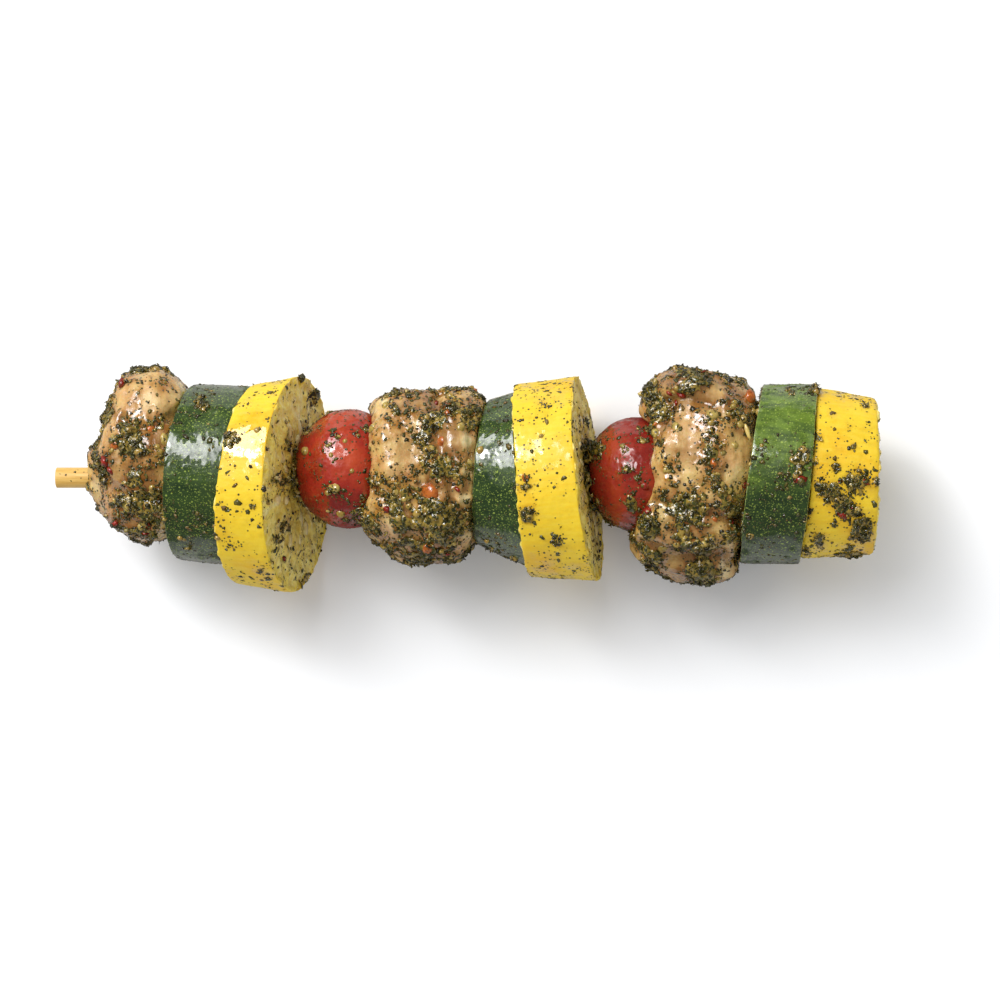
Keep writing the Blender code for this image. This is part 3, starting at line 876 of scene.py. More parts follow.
for node, (place, half_length, half_width) in TOMATOES.items():
    bpy.ops.mesh.primitive_uv_sphere_add(
        segments=TOMATO_SEGMENTS,
        ring_count=TOMATO_RINGS,
        radius=1,
        location=STICK_START + place * MM,
        rotation=(0, math.pi / 2, 0),
        scale=(half_width * MM, half_width * MM, half_length * MM),
    )
    piece = done(bpy.context.active_object)
    piece.name = f"cherry_{node}"
    edit(piece, "VERT")
    for side in (-1, 1):
        bpy.ops.mesh.select_all(action="DESELECT")
        bpy.ops.object.mode_set(mode="OBJECT")
        pole = max(piece.data.vertices, key=lambda vertex: side * vertex.co.x)
        pole.select = True
        bpy.ops.object.mode_set(mode="EDIT")
        bpy.ops.transform.translate(
            value=(-side * DRAWN_IN, 0, 0),
            use_proportional_edit=True,
            proportional_edit_falloff="SMOOTH",
            proportional_size=DRAWN_REACH,
        )
    done(piece)
    put_in_order(piece)
    roughen(piece, "dents", DENT_SIZE, DENT_DEPTH)
    roughen(piece, "oil_beads", BEAD_SIZE, BEAD_DEPTH)
    smooth(piece)
    piece.data.materials.append(tomato_skin(f"{node}_skin", TOMATO_PAINTED_SHADE[node]))
    rub_in(piece, TOMATO_USUAL, TOMATO_WET)
    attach(piece, "root")
    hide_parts(node)
    foods.append(Food(piece, TOMATO_USUAL, TOMATO_USUAL))


# Chicken
# Three chunks of raw breast folded onto the stick. The flesh is soft and wet, with creases where
# it folds, a fine grain, and amber where the oil has soaked in. The creases are darkened towards
# amber too: marinade gathered in the folds, and painted shade in them.

Crease = namedtuple("Crease", "points width depth")

CHICKEN_VOXEL = 0.45 * MM
SAME_PLACE = 0.01 * MM
SLEEVE_SIDES = 24
SLEEVE_WALL = 0.8 * MM
SLEEVE_SHORTER = 4 * MM
LUMP_SIZE = 5 * MM
LUMP_DEPTH = 1.4 * MM
FIBRE_RELIEF = 0.22
ROUGH_SIZE = 1.5 * MM
ROUGH_RELIEF = 0.13
HEAPED_RELIEF = 0.55
CREASE_AMBER_AND_SHADE = 0.55
UNSEEN_AREAS = 7 * MM
MEAT_USUAL = 0.62
MEAT_WET = 0.35
CREASES = {
    "chicken_1": [
        Crease([(120, 418), (135, 428), (152, 428), (172, 415)], 7, 1.1),
        Crease([(100, 470), (112, 488), (128, 497), (160, 500)], 6, 0.9),
    ],
    "chicken_2": [
        Crease([(437, 388), (434, 420), (440, 450), (452, 480), (452, 515)], 7, 1.6),
        Crease([(470, 400), (472, 440), (467, 480), (462, 520)], 4, 0.5),
        Crease([(368, 486), (385, 500), (405, 512)], 6, 1.0),
    ],
    "chicken_3": [
        Crease([(650, 402), (668, 400), (690, 398), (715, 405)], 6, 1.3),
        Crease([(655, 440), (664, 420), (672, 406)], 5, 0.9),
        Crease([(650, 500), (672, 508), (700, 512), (738, 522)], 8, 1.3),
        Crease([(640, 545), (670, 555), (700, 560), (725, 556)], 7, 1.5),
    ],
}
AMBER_PATCHES = rows_of(
    Patch, (107, 462, 10, 0.9), (150, 442, 16, 0.7), (128, 476, 16, 0.5), (165, 425, 9, 0.5),
    (446, 428, 12, 1.3), (448, 455, 11, 1.1), (436, 482, 12, 0.9), (425, 398, 14, 0.4), (430, 556, 20, 0.7),
    (690, 380, 30, 0.7), (735, 400, 15, 0.8), (742, 428, 10, 0.8), (712, 470, 16, 0.35),
    (690, 520, 24, 0.6), (738, 520, 12, 0.7), (690, 565, 30, 0.6), (660, 420, 12, 0.6),
    (405, 528, 12, 0.35), (120, 525, 20, 0.6), (140, 480, 20, 0.95), (152, 500, 16, 0.8),
    (690, 455, 22, 0.22), (412, 405, 16, 0.5),
)  # fmt: skip
PALE_PATCHES = rows_of(
    Patch, (464, 415, 8, 1.0), (468, 440, 8, 1.1), (467, 470, 8, 1.0), (466, 500, 8, 0.9),
    (468, 532, 9, 1.0), (389, 520, 10, 0.8), (384, 402, 7, 0.8), (664, 458, 10, 0.7), (662, 512, 9, 1.0),
    (735, 470, 14, 0.5), (724, 572, 9, 0.8), (646, 400, 9, 0.7), (642, 423, 8, 0.9), (149, 400, 14, 0.6),
    (98, 466, 8, 0.6), (98, 486, 9, 0.6), (164, 539, 9, 0.9), (184, 383, 8, 0.9),
)  # fmt: skip
MEAT = (0.57, 0.385, 0.130, 1)
MEAT_PINK = (0.56, 0.325, 0.120, 1)
MEAT_PALE = (0.70, 0.520, 0.200, 1)
MEAT_AMBER = (0.27, 0.125, 0.025, 1)
MEAT_FAT = (0.78, 0.66, 0.36, 1)
FIBRES_ALONG = (1, 0.22, 0.4)


def distance_to_line(across, down, line):
    """How far places in the photo are from a line drawn on it, in pixels."""
    nearest = np.full(len(across), 1e9)
    for (x0, y0), (x1, y1) in zip(line, line[1:]):
        run, rise = x1 - x0, y1 - y0
        share = ((across - x0) * run + (down - y0) * rise) / (run * run + rise * rise)
        share = np.clip(share, 0, 1)
        gap = np.hypot(across - x0 - share * run, down - y0 - share * rise)
        nearest = np.minimum(nearest, gap)
    return nearest


def meat_material():
    material, tree, shader = new_material("raw_breast")
    own = own_space(tree)
    stretched = shader_node(tree, "VectorMath", {0: own, 1: FIBRES_ALONG}, operation="MULTIPLY").outputs[0]
    grain = noise_value(tree, stretched, 1100, 4, 0.6)
    patches = noise_value(tree, own, 95, 3, 0.55)
    colour = colour_ramp(tree, patches, (0.36, MEAT), (0.50, MEAT_PINK), (0.66, MEAT_PALE))
    colour = mixed(tree, between(tree, grain, 0.48, 0.75, 0.0, 0.45), colour, MEAT_PALE)
    amber = stored_value(tree, "amber")
    mottled = maths(tree, "MULTIPLY", noise_value(tree, own, 300, 3, 0.6), 0.8)
    soaked = between(tree, maths(tree, "ADD", amber, mottled), 0.30, 1.05, 0.0, 0.9)
    colour = mixed(tree, soaked, colour, MEAT_AMBER)
    pale = stored_value(tree, "pale")
    streaky = noise_value(tree, stretched, 420, 3, 0.6)
    fat = between(tree, maths(tree, "ADD", pale, streaky), 0.70, 1.35, 0.0, 0.85)
    colour = mixed(tree, fat, colour, MEAT_FAT)
    stain = stained(tree, colour, own, 0.5, 1.0)
    let_light_in(shader, weight=0.35, colour_reach=(1.0, 0.5, 0.25), reach=1.8 * MM)
    relief = maths(tree, "MULTIPLY", grain, 0.6)
    finish_wet(tree, shader, stain, ripple=0.26 * MM, gloss=0.55, relief=relief)
    return material


breast = meat_material()
for number, (node, creases) in enumerate(CREASES.items(), 1):
    piece = frame["nodes"][node].copy()
    piece.data = piece.data.copy()
    bpy.context.scene.collection.objects.link(piece)
    piece.parent = None
    piece.name = f"{node}_breast"
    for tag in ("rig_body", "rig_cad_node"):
        del piece[tag]
    low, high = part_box(node)
    # The sleeve fills the hole for the stick, except at its ends, where the flesh stays drawn in.
    bpy.ops.mesh.primitive_cylinder_add(
        vertices=SLEEVE_SIDES,
        radius=STICK_RADIUS + SLEEVE_WALL,
        depth=high.x - low.x - SLEEVE_SHORTER,
        location=((low.x + high.x) / 2, STICK_START.y, STICK_START.z),
        rotation=(0, math.pi / 2, 0),
    )
    sleeve = done(bpy.context.active_object)
    sleeve.select_set(True)
    piece.select_set(True)
    bpy.context.view_layer.objects.active = piece
    bpy.ops.object.join()
    edit(piece)
    bpy.ops.mesh.select_all(action="SELECT")
    bpy.ops.mesh.remove_doubles(threshold=SAME_PLACE)
    done(piece)
    apply_modifier(piece, "SUBSURF", levels=1, render_levels=1)
    apply_modifier(piece, "REMESH", mode="VOXEL", voxel_size=CHICKEN_VOXEL)
    apply_modifier(piece, "SMOOTH", factor=0.5, iterations=10)
    roughen(piece, "lumps", LUMP_SIZE, LUMP_DEPTH)

    places, normals = vertex_arrays(piece)
    across, down = photo_places(places)
    facing = np.clip(normals[:, 2] * 3, 0, 1)
    amber = np.zeros(len(places))
    # Creases are pressed in and darkened towards amber: partly marinade gathered in the folds, partly painted
    # shade.
    for crease in creases:
        near = np.exp(-((distance_to_line(across, down, crease.points) / crease.width) ** 2)) * facing
        places -= normals * (near * crease.depth * MM)[:, None]
        amber = np.maximum(amber, near * CREASE_AMBER_AND_SHADE)
    for patch in AMBER_PATCHES:
        amber = np.maximum(amber, patch_weights(across, down, patch) * facing)
    pale = np.zeros(len(places))
    for patch in PALE_PATCHES:
        pale = np.maximum(pale, patch_weights(across, down, patch) * facing)
    unseen = waves(places, UNSEEN_AREAS)
    amber *= 1 - 0.6 * np.clip(pale, 0, 1)
    amber = np.maximum(amber, (1 - facing) * np.clip(0.25 + 0.9 * unseen, 0, 0.7))
    pale = np.maximum(pale, (1 - facing) * np.clip(-0.1 - 1.1 * unseen, 0, 0.55))
    fibres = np.array([noise.noise(Vector((x / 1.3, y / 7, z / 5)) / MM) for x, y, z in places])
    amount = marinade(places, normals[:, 2], MEAT_USUAL)
    rough = waves(places, ROUGH_SIZE)
    heaped = np.clip(amount - 0.25, 0, 1) * (0.4 + 0.9 * rough)
    relief = fibres * FIBRE_RELIEF + rough * ROUGH_RELIEF + heaped * HEAPED_RELIEF
    places += normals * (relief * MM)[:, None]
    piece.data.vertices.foreach_set("co", places.ravel())
    piece.data.update()
    write_values(piece, "amber", amber)
    write_values(piece, "pale", pale)
    rub_in(piece, MEAT_USUAL, MEAT_WET)
    smooth(piece)
    piece.data.materials.clear()
    piece.data.materials.append(breast)
    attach(piece, "root")
    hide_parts(node)
    foods.append(Food(piece, MEAT_USUAL, MEAT_USUAL))


# Squash seeds
# Young seeds, soft, flat and pale, in a ring round the middle of the squash's cut faces. The knife
# went through some and left others standing a little proud.

SEED_RINGS = ((0.36, 9), (0.55, 13))
SEED_LENGTH = (3.6, 5.2)
SEED_PROPORTIONS = (1, 0.5, 0.3)
SEED_SUNK = 0.22
SEED_SEARCH = 6
SEED_USUAL = 0.24
SEED_WET = 0.6
SEED_PALE = (0.86, 0.72, 0.34, 1)
SEED_SHADE = (0.70, 0.50, 0.15, 1)


def scatter_mesh(
    name, shape, faces, places, normals, sizes, tilt, lift, generator, uneven=0.35, bend=0.0, along=None
):
    """One mesh of many copies of a small shape, each turned, tilted, sized and dented its own way.

    shape holds the shape's points in a unit box, and sizes is one (length, width, height) per copy.
    The copies' lengths point anywhere, or as along says.
    """
    count = len(places)
    up = normals + generator.normal(0, 1, (count, 3)) * np.asarray(tilt).reshape(-1, 1)
    up /= np.linalg.norm(up, axis=1)[:, None]
    aside = np.cross(up, generator.normal(0, 1, (count, 3)) if along is None else np.cross(along, up))
    aside /= np.linalg.norm(aside, axis=1)[:, None]
    ahead = np.cross(up, aside)
    points = np.repeat(shape[None], count, 0)
    points = points * (1 + generator.uniform(-uneven, uneven, points.shape)) * sizes[:, None, :]
    curl = points[:, :, 0] ** 2 / np.maximum(sizes[:, None, 0], 1e-9)
    points[:, :, 2] += curl * generator.uniform(-bend, bend, (count, 1))
    turned = points[:, :, 0:1] * aside[:, None] + points[:, :, 1:2] * ahead[:, None]
    turned += points[:, :, 2:3] * up[:, None]
    turned += (places + normals * np.asarray(lift).reshape(-1, 1))[:, None]
    turned[:, :, 2] = np.maximum(turned[:, :, 2], 0)
    mesh = bpy.data.meshes.new(name)
    indices = np.array(faces)[None] + (np.arange(count) * len(shape))[:, None, None]
    mesh.from_pydata(turned.reshape(-1, 3).tolist(), [], indices.reshape(-1, len(faces[0])).tolist())
    made = bpy.data.objects.new(name, mesh)
    bpy.context.scene.collection.objects.link(made)
    return made


def ball_shape(subdivisions):
    """The points and triangles of a ball one unit across."""
    bpy.ops.mesh.primitive_ico_sphere_add(subdivisions=subdivisions, radius=0.5)
    ball = bpy.context.active_object
    points = np.array([vertex.co for vertex in ball.data.vertices])
    faces = [tuple(face.vertices) for face in ball.data.polygons]
    bpy.data.objects.remove(ball)
    return points, faces


def seed_material():
    material, tree, shader = new_material("young_seeds")
    own = own_space(tree)
    colour = colour_ramp(tree, noise_value(tree, own, 500, 3, 0.6), (0.35, SEED_SHADE), (0.6, SEED_PALE))
    stain = stained(tree, colour, own, 0.2, 0.3)
    let_light_in(shader, weight=0.3, colour_reach=(1.0, 0.8, 0.4), reach=1.0 * MM)
    finish_wet(tree, shader, stain, ripple=0.08 * MM, gloss=0.45)
    return material


generator = np.random.default_rng(5)
seed_places, seed_normals, seed_outward = [], [], []
bpy.context.view_layer.update()
for node, (_, right) in SQUASH_CUTS.items():
    cut_slice = bpy.data.objects[f"{node}_slice"]
    turn = cut_turn(right)
    axis = turn @ Vector((1, 0, 0))
    for ring, count in SEED_RINGS:
        for number in range(count):
            angle = (number + generator.uniform(-0.3, 0.3)) * 2 * math.pi / count
            outward = turn @ Vector((0, math.cos(angle), math.sin(angle)))
            far = right.radius * MM * (ring + generator.uniform(-0.04, 0.04))
            start = cut_place(right) + outward * far + axis * SEED_SEARCH * MM
            found, place, _, _ = cut_slice.ray_cast(start, -axis, distance=2 * SEED_SEARCH * MM)
            if found:
                seed_places.append(place)
                seed_normals.append(axis)
                seed_outward.append(outward)
seed_points, seed_faces = ball_shape(2)
seed_lengths = generator.uniform(*SEED_LENGTH, len(seed_places))
seed_boxes = seed_lengths[:, None] * np.array(SEED_PROPORTIONS) * MM
squash_seeds = scatter_mesh(
    "squash_seeds",
    seed_points,
    seed_faces,
    np.array(seed_places),
    np.array(seed_normals),
    seed_boxes,
    tilt=0.12,
    lift=-SEED_SUNK * seed_boxes[:, 2],
    generator=generator,
    uneven=0.06,
    along=np.array(seed_outward),
)
smooth(squash_seeds)
squash_seeds.data.materials.append(seed_material())
rub_in(squash_seeds, SEED_USUAL, SEED_WET)
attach(squash_seeds, "root")
foods.append(Food(squash_seeds, SEED_USUAL, SEED_USUAL))


# Heaps of marinade
# Where herbs gather they make a wet, lumpy paste with the oil, half a millimetre to two thick.
# It is built of small flattened drops that run together.


def surface_of(food):
    """The corners, unit normals, areas and usual marinade of a food's triangles."""
    mesh = food.piece.data
    mesh.calc_loop_triangles()
    count = len(mesh.loop_triangles)
    corners = np.empty(count * 3, np.int32)
    mesh.loop_triangles.foreach_get("vertices", corners)
    cut = np.empty(count, np.int32)
    mesh.loop_triangles.foreach_get("material_index", cut)
    places, _ = vertex_arrays(food.piece)
    triangles = places[corners.reshape(-1, 3)].astype(float)
    cross = np.cross(triangles[:, 1] - triangles[:, 0], triangles[:, 2] - triangles[:, 0])
    size = np.maximum(np.linalg.norm(cross, axis=1), 1e-15)
    return triangles, cross / size[:, None], size / 2, np.where(cut == 1, food.cut_usual, food.usual)


def tree_of(some_foods):
    corners = []
    for food in some_foods:
        corners.append(surface_of(food)[0].reshape(-1, 3))
    corners = np.concatenate(corners)
    faces = np.arange(len(corners)).reshape(-1, 3)
    return BVHTree.FromPolygons(corners.tolist(), faces.tolist())


CLEAR_OF_TABLE = 0.6 * MM
JUST_ABOVE = 0.06


def scattered(some_foods, tree, covered_within, per_square_mm, chance_of, seed):
    """Places on the foods where the marinade left something, with the surface's normals there.

    chance_of turns how thickly the marinade lies into the chance of finding something. Nothing
    is put where two foods touch.
    """
    generator = np.random.default_rng(seed)
    places, normals, amounts = [], [], []
    for food in some_foods:
        triangles, facing, areas, usual = surface_of(food)
        tries = int(areas.sum() / MM**2 * per_square_mm)
        chosen = generator.choice(len(areas), tries, p=areas / areas.sum())
        shares = generator.dirichlet((1, 1, 1), tries)
        there = (triangles[chosen] * shares[:, :, None]).sum(1)
        amount = marinade(there, facing[chosen][:, 2], usual[chosen])
        kept = generator.random(tries) < chance_of(amount) * food.share
        kept &= there[:, 2] > CLEAR_OF_TABLE
        for place, normal, thick in zip(there[kept], facing[chosen][kept], amount[kept]):
            start = Vector(place) + Vector(normal) * JUST_ABOVE * MM
            if tree.ray_cast(start, Vector(normal), covered_within)[0] is None:
                places.append(place)
                normals.append(normal)
                amounts.append(thick)
    return np.array(places), np.array(normals), np.array(amounts)


PASTE_VOXEL = 0.36 * MM
PASTE_DARK = (0.035, 0.032, 0.006, 1)
PASTE_GREEN = (0.065, 0.070, 0.010, 1)
PASTE_OLIVE = (0.130, 0.105, 0.015, 1)
PASTE_AMBER = (0.34, 0.225, 0.034, 1)


def paste_material():
    material, tree, shader = new_material("marinade_paste")
    own = own_space(tree)
    lumps = noise_value(tree, own, 900, 3, 0.6)
    patches = noise_value(tree, own, 260, 2)
    mottle = maths(tree, "ADD", maths(tree, "MULTIPLY", lumps, 0.65), maths(tree, "MULTIPLY", patches, 0.35))
    oil = colour_ramp(tree, mottle, (0.38, PASTE_OLIVE), (0.58, PASTE_AMBER))
    cells = shader_node(tree, "TexVoronoi", {"Vector": own, "Scale": 1150.0, "Randomness": 1.0})
    chance = shader_node(tree, "SeparateColor", {0: cells.outputs["Color"]}).outputs
    herb = colour_ramp(tree, chance[1], (0.3, PASTE_DARK), (0.7, PASTE_GREEN))
    covered = maths(tree, "GREATER_THAN", chance[0], 0.42)
    covered = maths(tree, "MULTIPLY", covered, between(tree, cells.outputs["Distance"], 0.48, 0.56, 1.0, 0.0))
    colour = mixed(tree, covered, oil, herb)
    tree.links.new(colour, shader.inputs["Base Color"])
    tree.links.new(between(tree, lumps, 0.3, 0.7, 0.05, 0.16), shader.inputs["Roughness"])
    shader.inputs["IOR"].default_value = FILM_IOR
    shader.inputs["Specular IOR Level"].default_value = 0.8
    let_light_in(shader, weight=0.2, colour_reach=(1.0, 0.7, 0.2), reach=0.8 * MM)
    bumped(tree, shader, lumps, distance=0.35 * MM)
    return material


GAPS = {"left": [54.0 * MM], "middle": [117.5 * MM], "right": [139.0 * MM]}
GAP_REACH = (2.6 * MM, 8.0 * MM)
WIDEST_GAP = 3.2 * MM
NARROW_GAP = 1 * MM
GAP_SEARCH = 3
DROPS_IN_GAP = 2000
GAP_DROPS = (0.7, 1.5)


def squeezed_out(gaps, generator):
    """Drops of paste between the cut face of a slice and the tomato that is pressed against it."""
    places, normals, widths = [], [], []
    ahead = Vector((1, 0, 0))
    for gap in gaps:
        for _ in range(DROPS_IN_GAP):
            angle = generator.uniform(0, 2 * math.pi)
            far = generator.uniform(*GAP_REACH)
            off = generator.uniform(-GAP_SEARCH, GAP_SEARCH) * MM
            aside = Vector((off, far * math.cos(angle), far * math.sin(angle)))
            start = STICK_START + Vector((gap, 0, 0)) + aside
            back, back_facing, _, behind = food_tree.ray_cast(start, -ahead, GAP_SEARCH * MM)
            front, front_facing, _, before = food_tree.ray_cast(start, ahead, GAP_SEARCH * MM)
            if back is None or front is None or back_facing.x < 0 or front_facing.x > 0:
                continue
            gap_width = behind + before
            if generator.random() < 1 - gap_width / WIDEST_GAP:
                on_tomato = 0.5 if gap_width < NARROW_GAP else generator.random()
                places.append(back.lerp(front, on_tomato))
                normals.append((0, math.cos(angle), math.sin(angle)))
                widths.append(generator.uniform(*GAP_DROPS))
    return np.array(places).reshape(-1, 3), np.array(normals).reshape(-1, 3), np.array(widths)


def paste_chance(amount):
    """The chance of a drop of paste where the marinade lies this thickly."""
    return np.clip((amount - PASTE_FROM) / PASTE_OVER, 0, 1) ** 1.2


HEAP_FOODS = {
    "left": ("chicken_1", "zucchini_1", "squash_1"),
    "middle": ("tomato_1", "chicken_2", "zucchini_2", "squash_2"),
    "right": ("tomato_2", "chicken_3", "zucchini_3", "squash_3"),
}
FIRST_HEAP_SEED = 31
PASTE_FROM = 0.47
PASTE_OVER = 0.7
DROPS_PER_SQUARE_MM = 3.0
ROOM_FOR_PASTE = 1.2 * MM
DROP_THICKNESS = 0.58
DROP_LIFT = 0.05 * MM
HEAP_USUAL = 0.85
HEAP_SHARE = 0.55

paste = paste_material()
food_tree = tree_of(foods)
drop_points, drop_faces = ball_shape(1)
heaps = []
for number, (name, members) in enumerate(HEAP_FOODS.items(), FIRST_HEAP_SEED):
    near = [food for food in foods if any(member in food.piece.name for member in members)]
    generator = np.random.default_rng(number)
    places, normals, amounts = scattered(
        near, food_tree, ROOM_FOR_PASTE, DROPS_PER_SQUARE_MM, paste_chance, number
    )
    wide = (0.7 + 1.1 * generator.beta(1.5, 3, len(places))) * (0.75 + 0.35 * amounts)
    squeezed, across_gaps, widths = squeezed_out(GAPS.get(name, []), generator)
    places = np.concatenate([places, squeezed])
    normals = np.concatenate([normals, across_gaps])
    wide = np.concatenate([wide, widths])
    sizes = np.stack([wide, wide * generator.uniform(0.6, 1, len(places)), wide * DROP_THICKNESS], 1) * MM
    heap = scatter_mesh(
        f"marinade_{name}", drop_points, drop_faces, places, normals, sizes, 0.3, DROP_LIFT, generator
    )
    apply_modifier(heap, "REMESH", mode="VOXEL", voxel_size=PASTE_VOXEL)
    apply_modifier(heap, "SMOOTH", factor=0.5, iterations=2)
    rest_on_table(heap)
    smooth(heap)
    heap.data.materials.append(paste)
    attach(heap, "root")
    heaps.append(Food(heap, HEAP_USUAL, HEAP_USUAL, HEAP_SHARE))


# Mustard seeds, garlic and chilli
# Whole mustard seeds, crushed garlic and flakes of dried chilli in the marinade. Those that stand
# out in the photo are put where it shows them; the rest are strewn thinly wherever paste lies.

Spot = namedtuple("Spot", "across down size")

SEED_SPOTS = rows_of(
    Spot, (139, 452, 2.5), (305, 451, 2.4), (341, 514, 2.0), (327, 493, 1.3), (417, 514, 1.9),
    (345, 441, 1.2), (352, 471, 1.1), (331, 455, 1.2), (409, 507, 1.6), (427, 451, 2.0), (421, 458, 1.6),
    (803, 450, 2.1), (661, 549, 2.0), (697, 549, 2.0), (675, 368, 1.9), (166, 442, 1.8), (160, 452, 1.6),
    (152, 488, 1.7), (163, 514, 1.8), (180, 538, 1.5), (487, 541, 1.7), (514, 558, 1.8), (450, 396, 1.9),
    (480, 450, 1.8), (541, 436, 1.2), (837, 500, 1.7), (750, 536, 1.8), (796, 476, 1.6), (753, 411, 1.6),
    (257, 430, 1.5), (712, 540, 1.6), (648, 430, 1.9), (135, 500, 1.6), (146, 505, 1.4), (217, 538, 1.4),
)  # fmt: skip
GARLIC_SPOTS = rows_of(
    Spot, (334, 488, 3.0), (455, 478, 1.6), (470, 462, 1.8), (461, 427, 2.2), (713, 414, 3.6),
    (676, 427, 2.4), (741, 424, 2.6), (385, 405, 2.2), (433, 449, 2.6), (396, 492, 2.0), (404, 499, 1.8),
    (452, 545, 2.0), (667, 470, 2.0), (705, 545, 2.3), (663, 548, 2.4), (372, 428, 2.4), (165, 440, 2.6),
    (655, 433, 2.2), (735, 445, 2.2),
)  # fmt: skip
CHILLI_SPOTS = rows_of(
    Spot, (121, 384, 2.6), (105, 461, 2.9), (110, 470, 2.6), (644, 486, 3.6), (646, 512, 3.4),
    (681, 395, 2.4), (676, 403, 2.0), (800, 479, 2.6), (457, 489, 2.0), (115, 524, 2.2), (284, 559, 2.0),
    (436, 403, 1.6), (669, 393, 1.7), (732, 522, 2.0), (866, 482, 1.6),
)  # fmt: skip
ORANGE_SPOTS = [Spot(430, 492, 5.6), Spot(751, 397, 3.4), Spot(114, 446, 2.4), Spot(427, 549, 2.4)]
SEED_YELLOW = (0.37, 0.25, 0.055, 1)
GARLIC_IVORY = (0.45, 0.33, 0.085, 1)
CHILLI_RED = (0.30, 0.020, 0.009, 1)
CHILLI_ORANGE = (0.46, 0.125, 0.018, 1)
SEED_BROWN = (0.24, 0.15, 0.03, 1)
GARLIC_BROWN = (0.24, 0.16, 0.03, 1)
CHILLI_DARK = (0.14, 0.010, 0.006, 1)
ORANGE_DARK = (0.20, 0.045, 0.008, 1)
LOWEST_SPOT = 1 * MM
ROOM_FOR_SPICE = 1.5 * MM
SPICE_USUAL = 0.6
SPICE_SHARE = 0.6


def spice_material(name, colour, darker, gloss):
    material, tree, shader = new_material(name)
    mottle = noise_value(tree, own_space(tree), 700, 3, 0.6)
    skin = colour_ramp(tree, mottle, (0.32, darker), (0.58, colour))
    tree.links.new(skin, shader.inputs["Base Color"])
    tree.links.new(between(tree, mottle, 0.3, 0.7, gloss, gloss + 0.15), shader.inputs["Roughness"])
    shader.inputs["IOR"].default_value = FILM_IOR
    let_light_in(shader, weight=0.3, colour_reach=(1.0, 0.6, 0.2), reach=0.8 * MM)
    bumped(tree, shader, mottle, distance=0.1 * MM)
    return material


def lens_shape(sides):
    """A flat flake: a ring of points with one above and one below."""
    angles = np.arange(sides) * 2 * math.pi / sides
    ring = np.stack([np.cos(angles) / 2, np.sin(angles) / 2, np.zeros(sides)], 1)
    points = np.concatenate([ring, [[0, 0, 0.5], [0, 0, -0.5]]])
    faces = []
    for corner in range(sides):
        after = (corner + 1) % sides
        faces.append((corner, after, sides))
        faces.append((after, corner, sides + 1))
    return points, faces


def set_spots(spots):
    """Where spots of the photo lie on the kebab, with the surface's normals there."""
    places, normals, sizes = [], [], []
    for spot in spots:
        aside = (spot.across - PHOTO_SIZE / 2) * PHOTO_PIXEL / VIEW_DISTANCE
        up = (PHOTO_SIZE / 2 - spot.down) * PHOTO_PIXEL / VIEW_DISTANCE
        place, normal, _, _ = spice_tree.ray_cast(camera.location, Vector((aside, up, -1)))
        if place is not None and place.z > LOWEST_SPOT:
            places.append(place)
            normals.append(normal)
            sizes.append(spot.size)
    return np.array(places), np.array(normals), np.array(sizes)


def spice_chance(amount):
    """The chance of a bit of spice where the marinade lies this thickly."""
    return np.clip(amount - 0.35, 0, 1)


def spice(name, bit, spots, strewn, proportions, sizes_between, sunk, uneven, material, seed):
    """Bits of one spice: those at their spots, and others strewn where the marinade is thick.

    bit is the shape of one, as points and faces. strewn is how many a square millimetre is tried
    with, and sunk is the share of a bit's height that it lies in the paste.
    """
    generator = np.random.default_rng(seed)
    places, normals, sizes = set_spots(spots)
    more, facing, _ = scattered(foods + heaps, spice_tree, ROOM_FOR_SPICE, strewn, spice_chance, seed)
    places = np.concatenate([places, more])
    normals = np.concatenate([normals, facing])
    sizes = np.concatenate([sizes, generator.uniform(*sizes_between, len(more))])
    boxes = sizes[:, None] * np.array(proportions) * generator.uniform(0.85, 1.15, (len(sizes), 3)) * MM
    made = scatter_mesh(name, *bit, places, normals, boxes, 0.2, -sunk * boxes[:, 2], generator, uneven)
    smooth(made)
    made.data.materials.append(material)
    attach(made, "root")
    spices.append(Food(made, SPICE_USUAL, SPICE_USUAL, SPICE_SHARE))


spices = []
spice_tree = tree_of(foods + heaps + [Food(stick, 0, 0)])
flake = lens_shape(7)
bead = ball_shape(2)
yellow = spice_material("mustard_yellow", SEED_YELLOW, SEED_BROWN, 0.08)
ivory = spice_material("garlic_ivory", GARLIC_IVORY, GARLIC_BROWN, 0.08)
red = spice_material("chilli_red", CHILLI_RED, CHILLI_DARK, 0.10)
orange = spice_material("chilli_orange", CHILLI_ORANGE, ORANGE_DARK, 0.06)
spice(
    "mustard_seeds", bead, SEED_SPOTS, strewn=0.02, proportions=(1, 0.93, 0.88), sizes_between=(1.0, 1.8),
    sunk=0.1, uneven=0.12, material=yellow, seed=21,
)  # fmt: skip
spice(
    "garlic_bits", bead, GARLIC_SPOTS, strewn=0.07, proportions=(1, 0.75, 0.55), sizes_between=(0.7, 1.8),
    sunk=0.1, uneven=0.24, material=ivory, seed=22,
)  # fmt: skip
spice(
    "chilli_flakes", flake, CHILLI_SPOTS, strewn=0.006, proportions=(1, 0.7, 0.35), sizes_between=(1.2, 2.6),
    sunk=-0.2, uneven=0.35, material=red, seed=23,
)  # fmt: skip
spice(
    "chilli_pieces", bead, ORANGE_SPOTS, strewn=0.003, proportions=(1, 0.8, 0.6), sizes_between=(1.4, 2.6),
    sunk=0.1, uneven=0.2, material=orange, seed=24,
)  # fmt: skip


# Onion sliver
# One thin pale sliver of onion, stuck on the right edge of the third chunk of chicken.

ONION_SPOT = Spot(745, 432, 3.9)
ONION_THICKNESS = (0.26, 0.24)
ONION_LIES_ALONG = (0.12, -1, 0)
ONION_STANDS = 0.6
ONION_PALE = (0.66, 0.50, 0.17, 1)
ONION_SHADE = (0.45, 0.30, 0.07, 1)

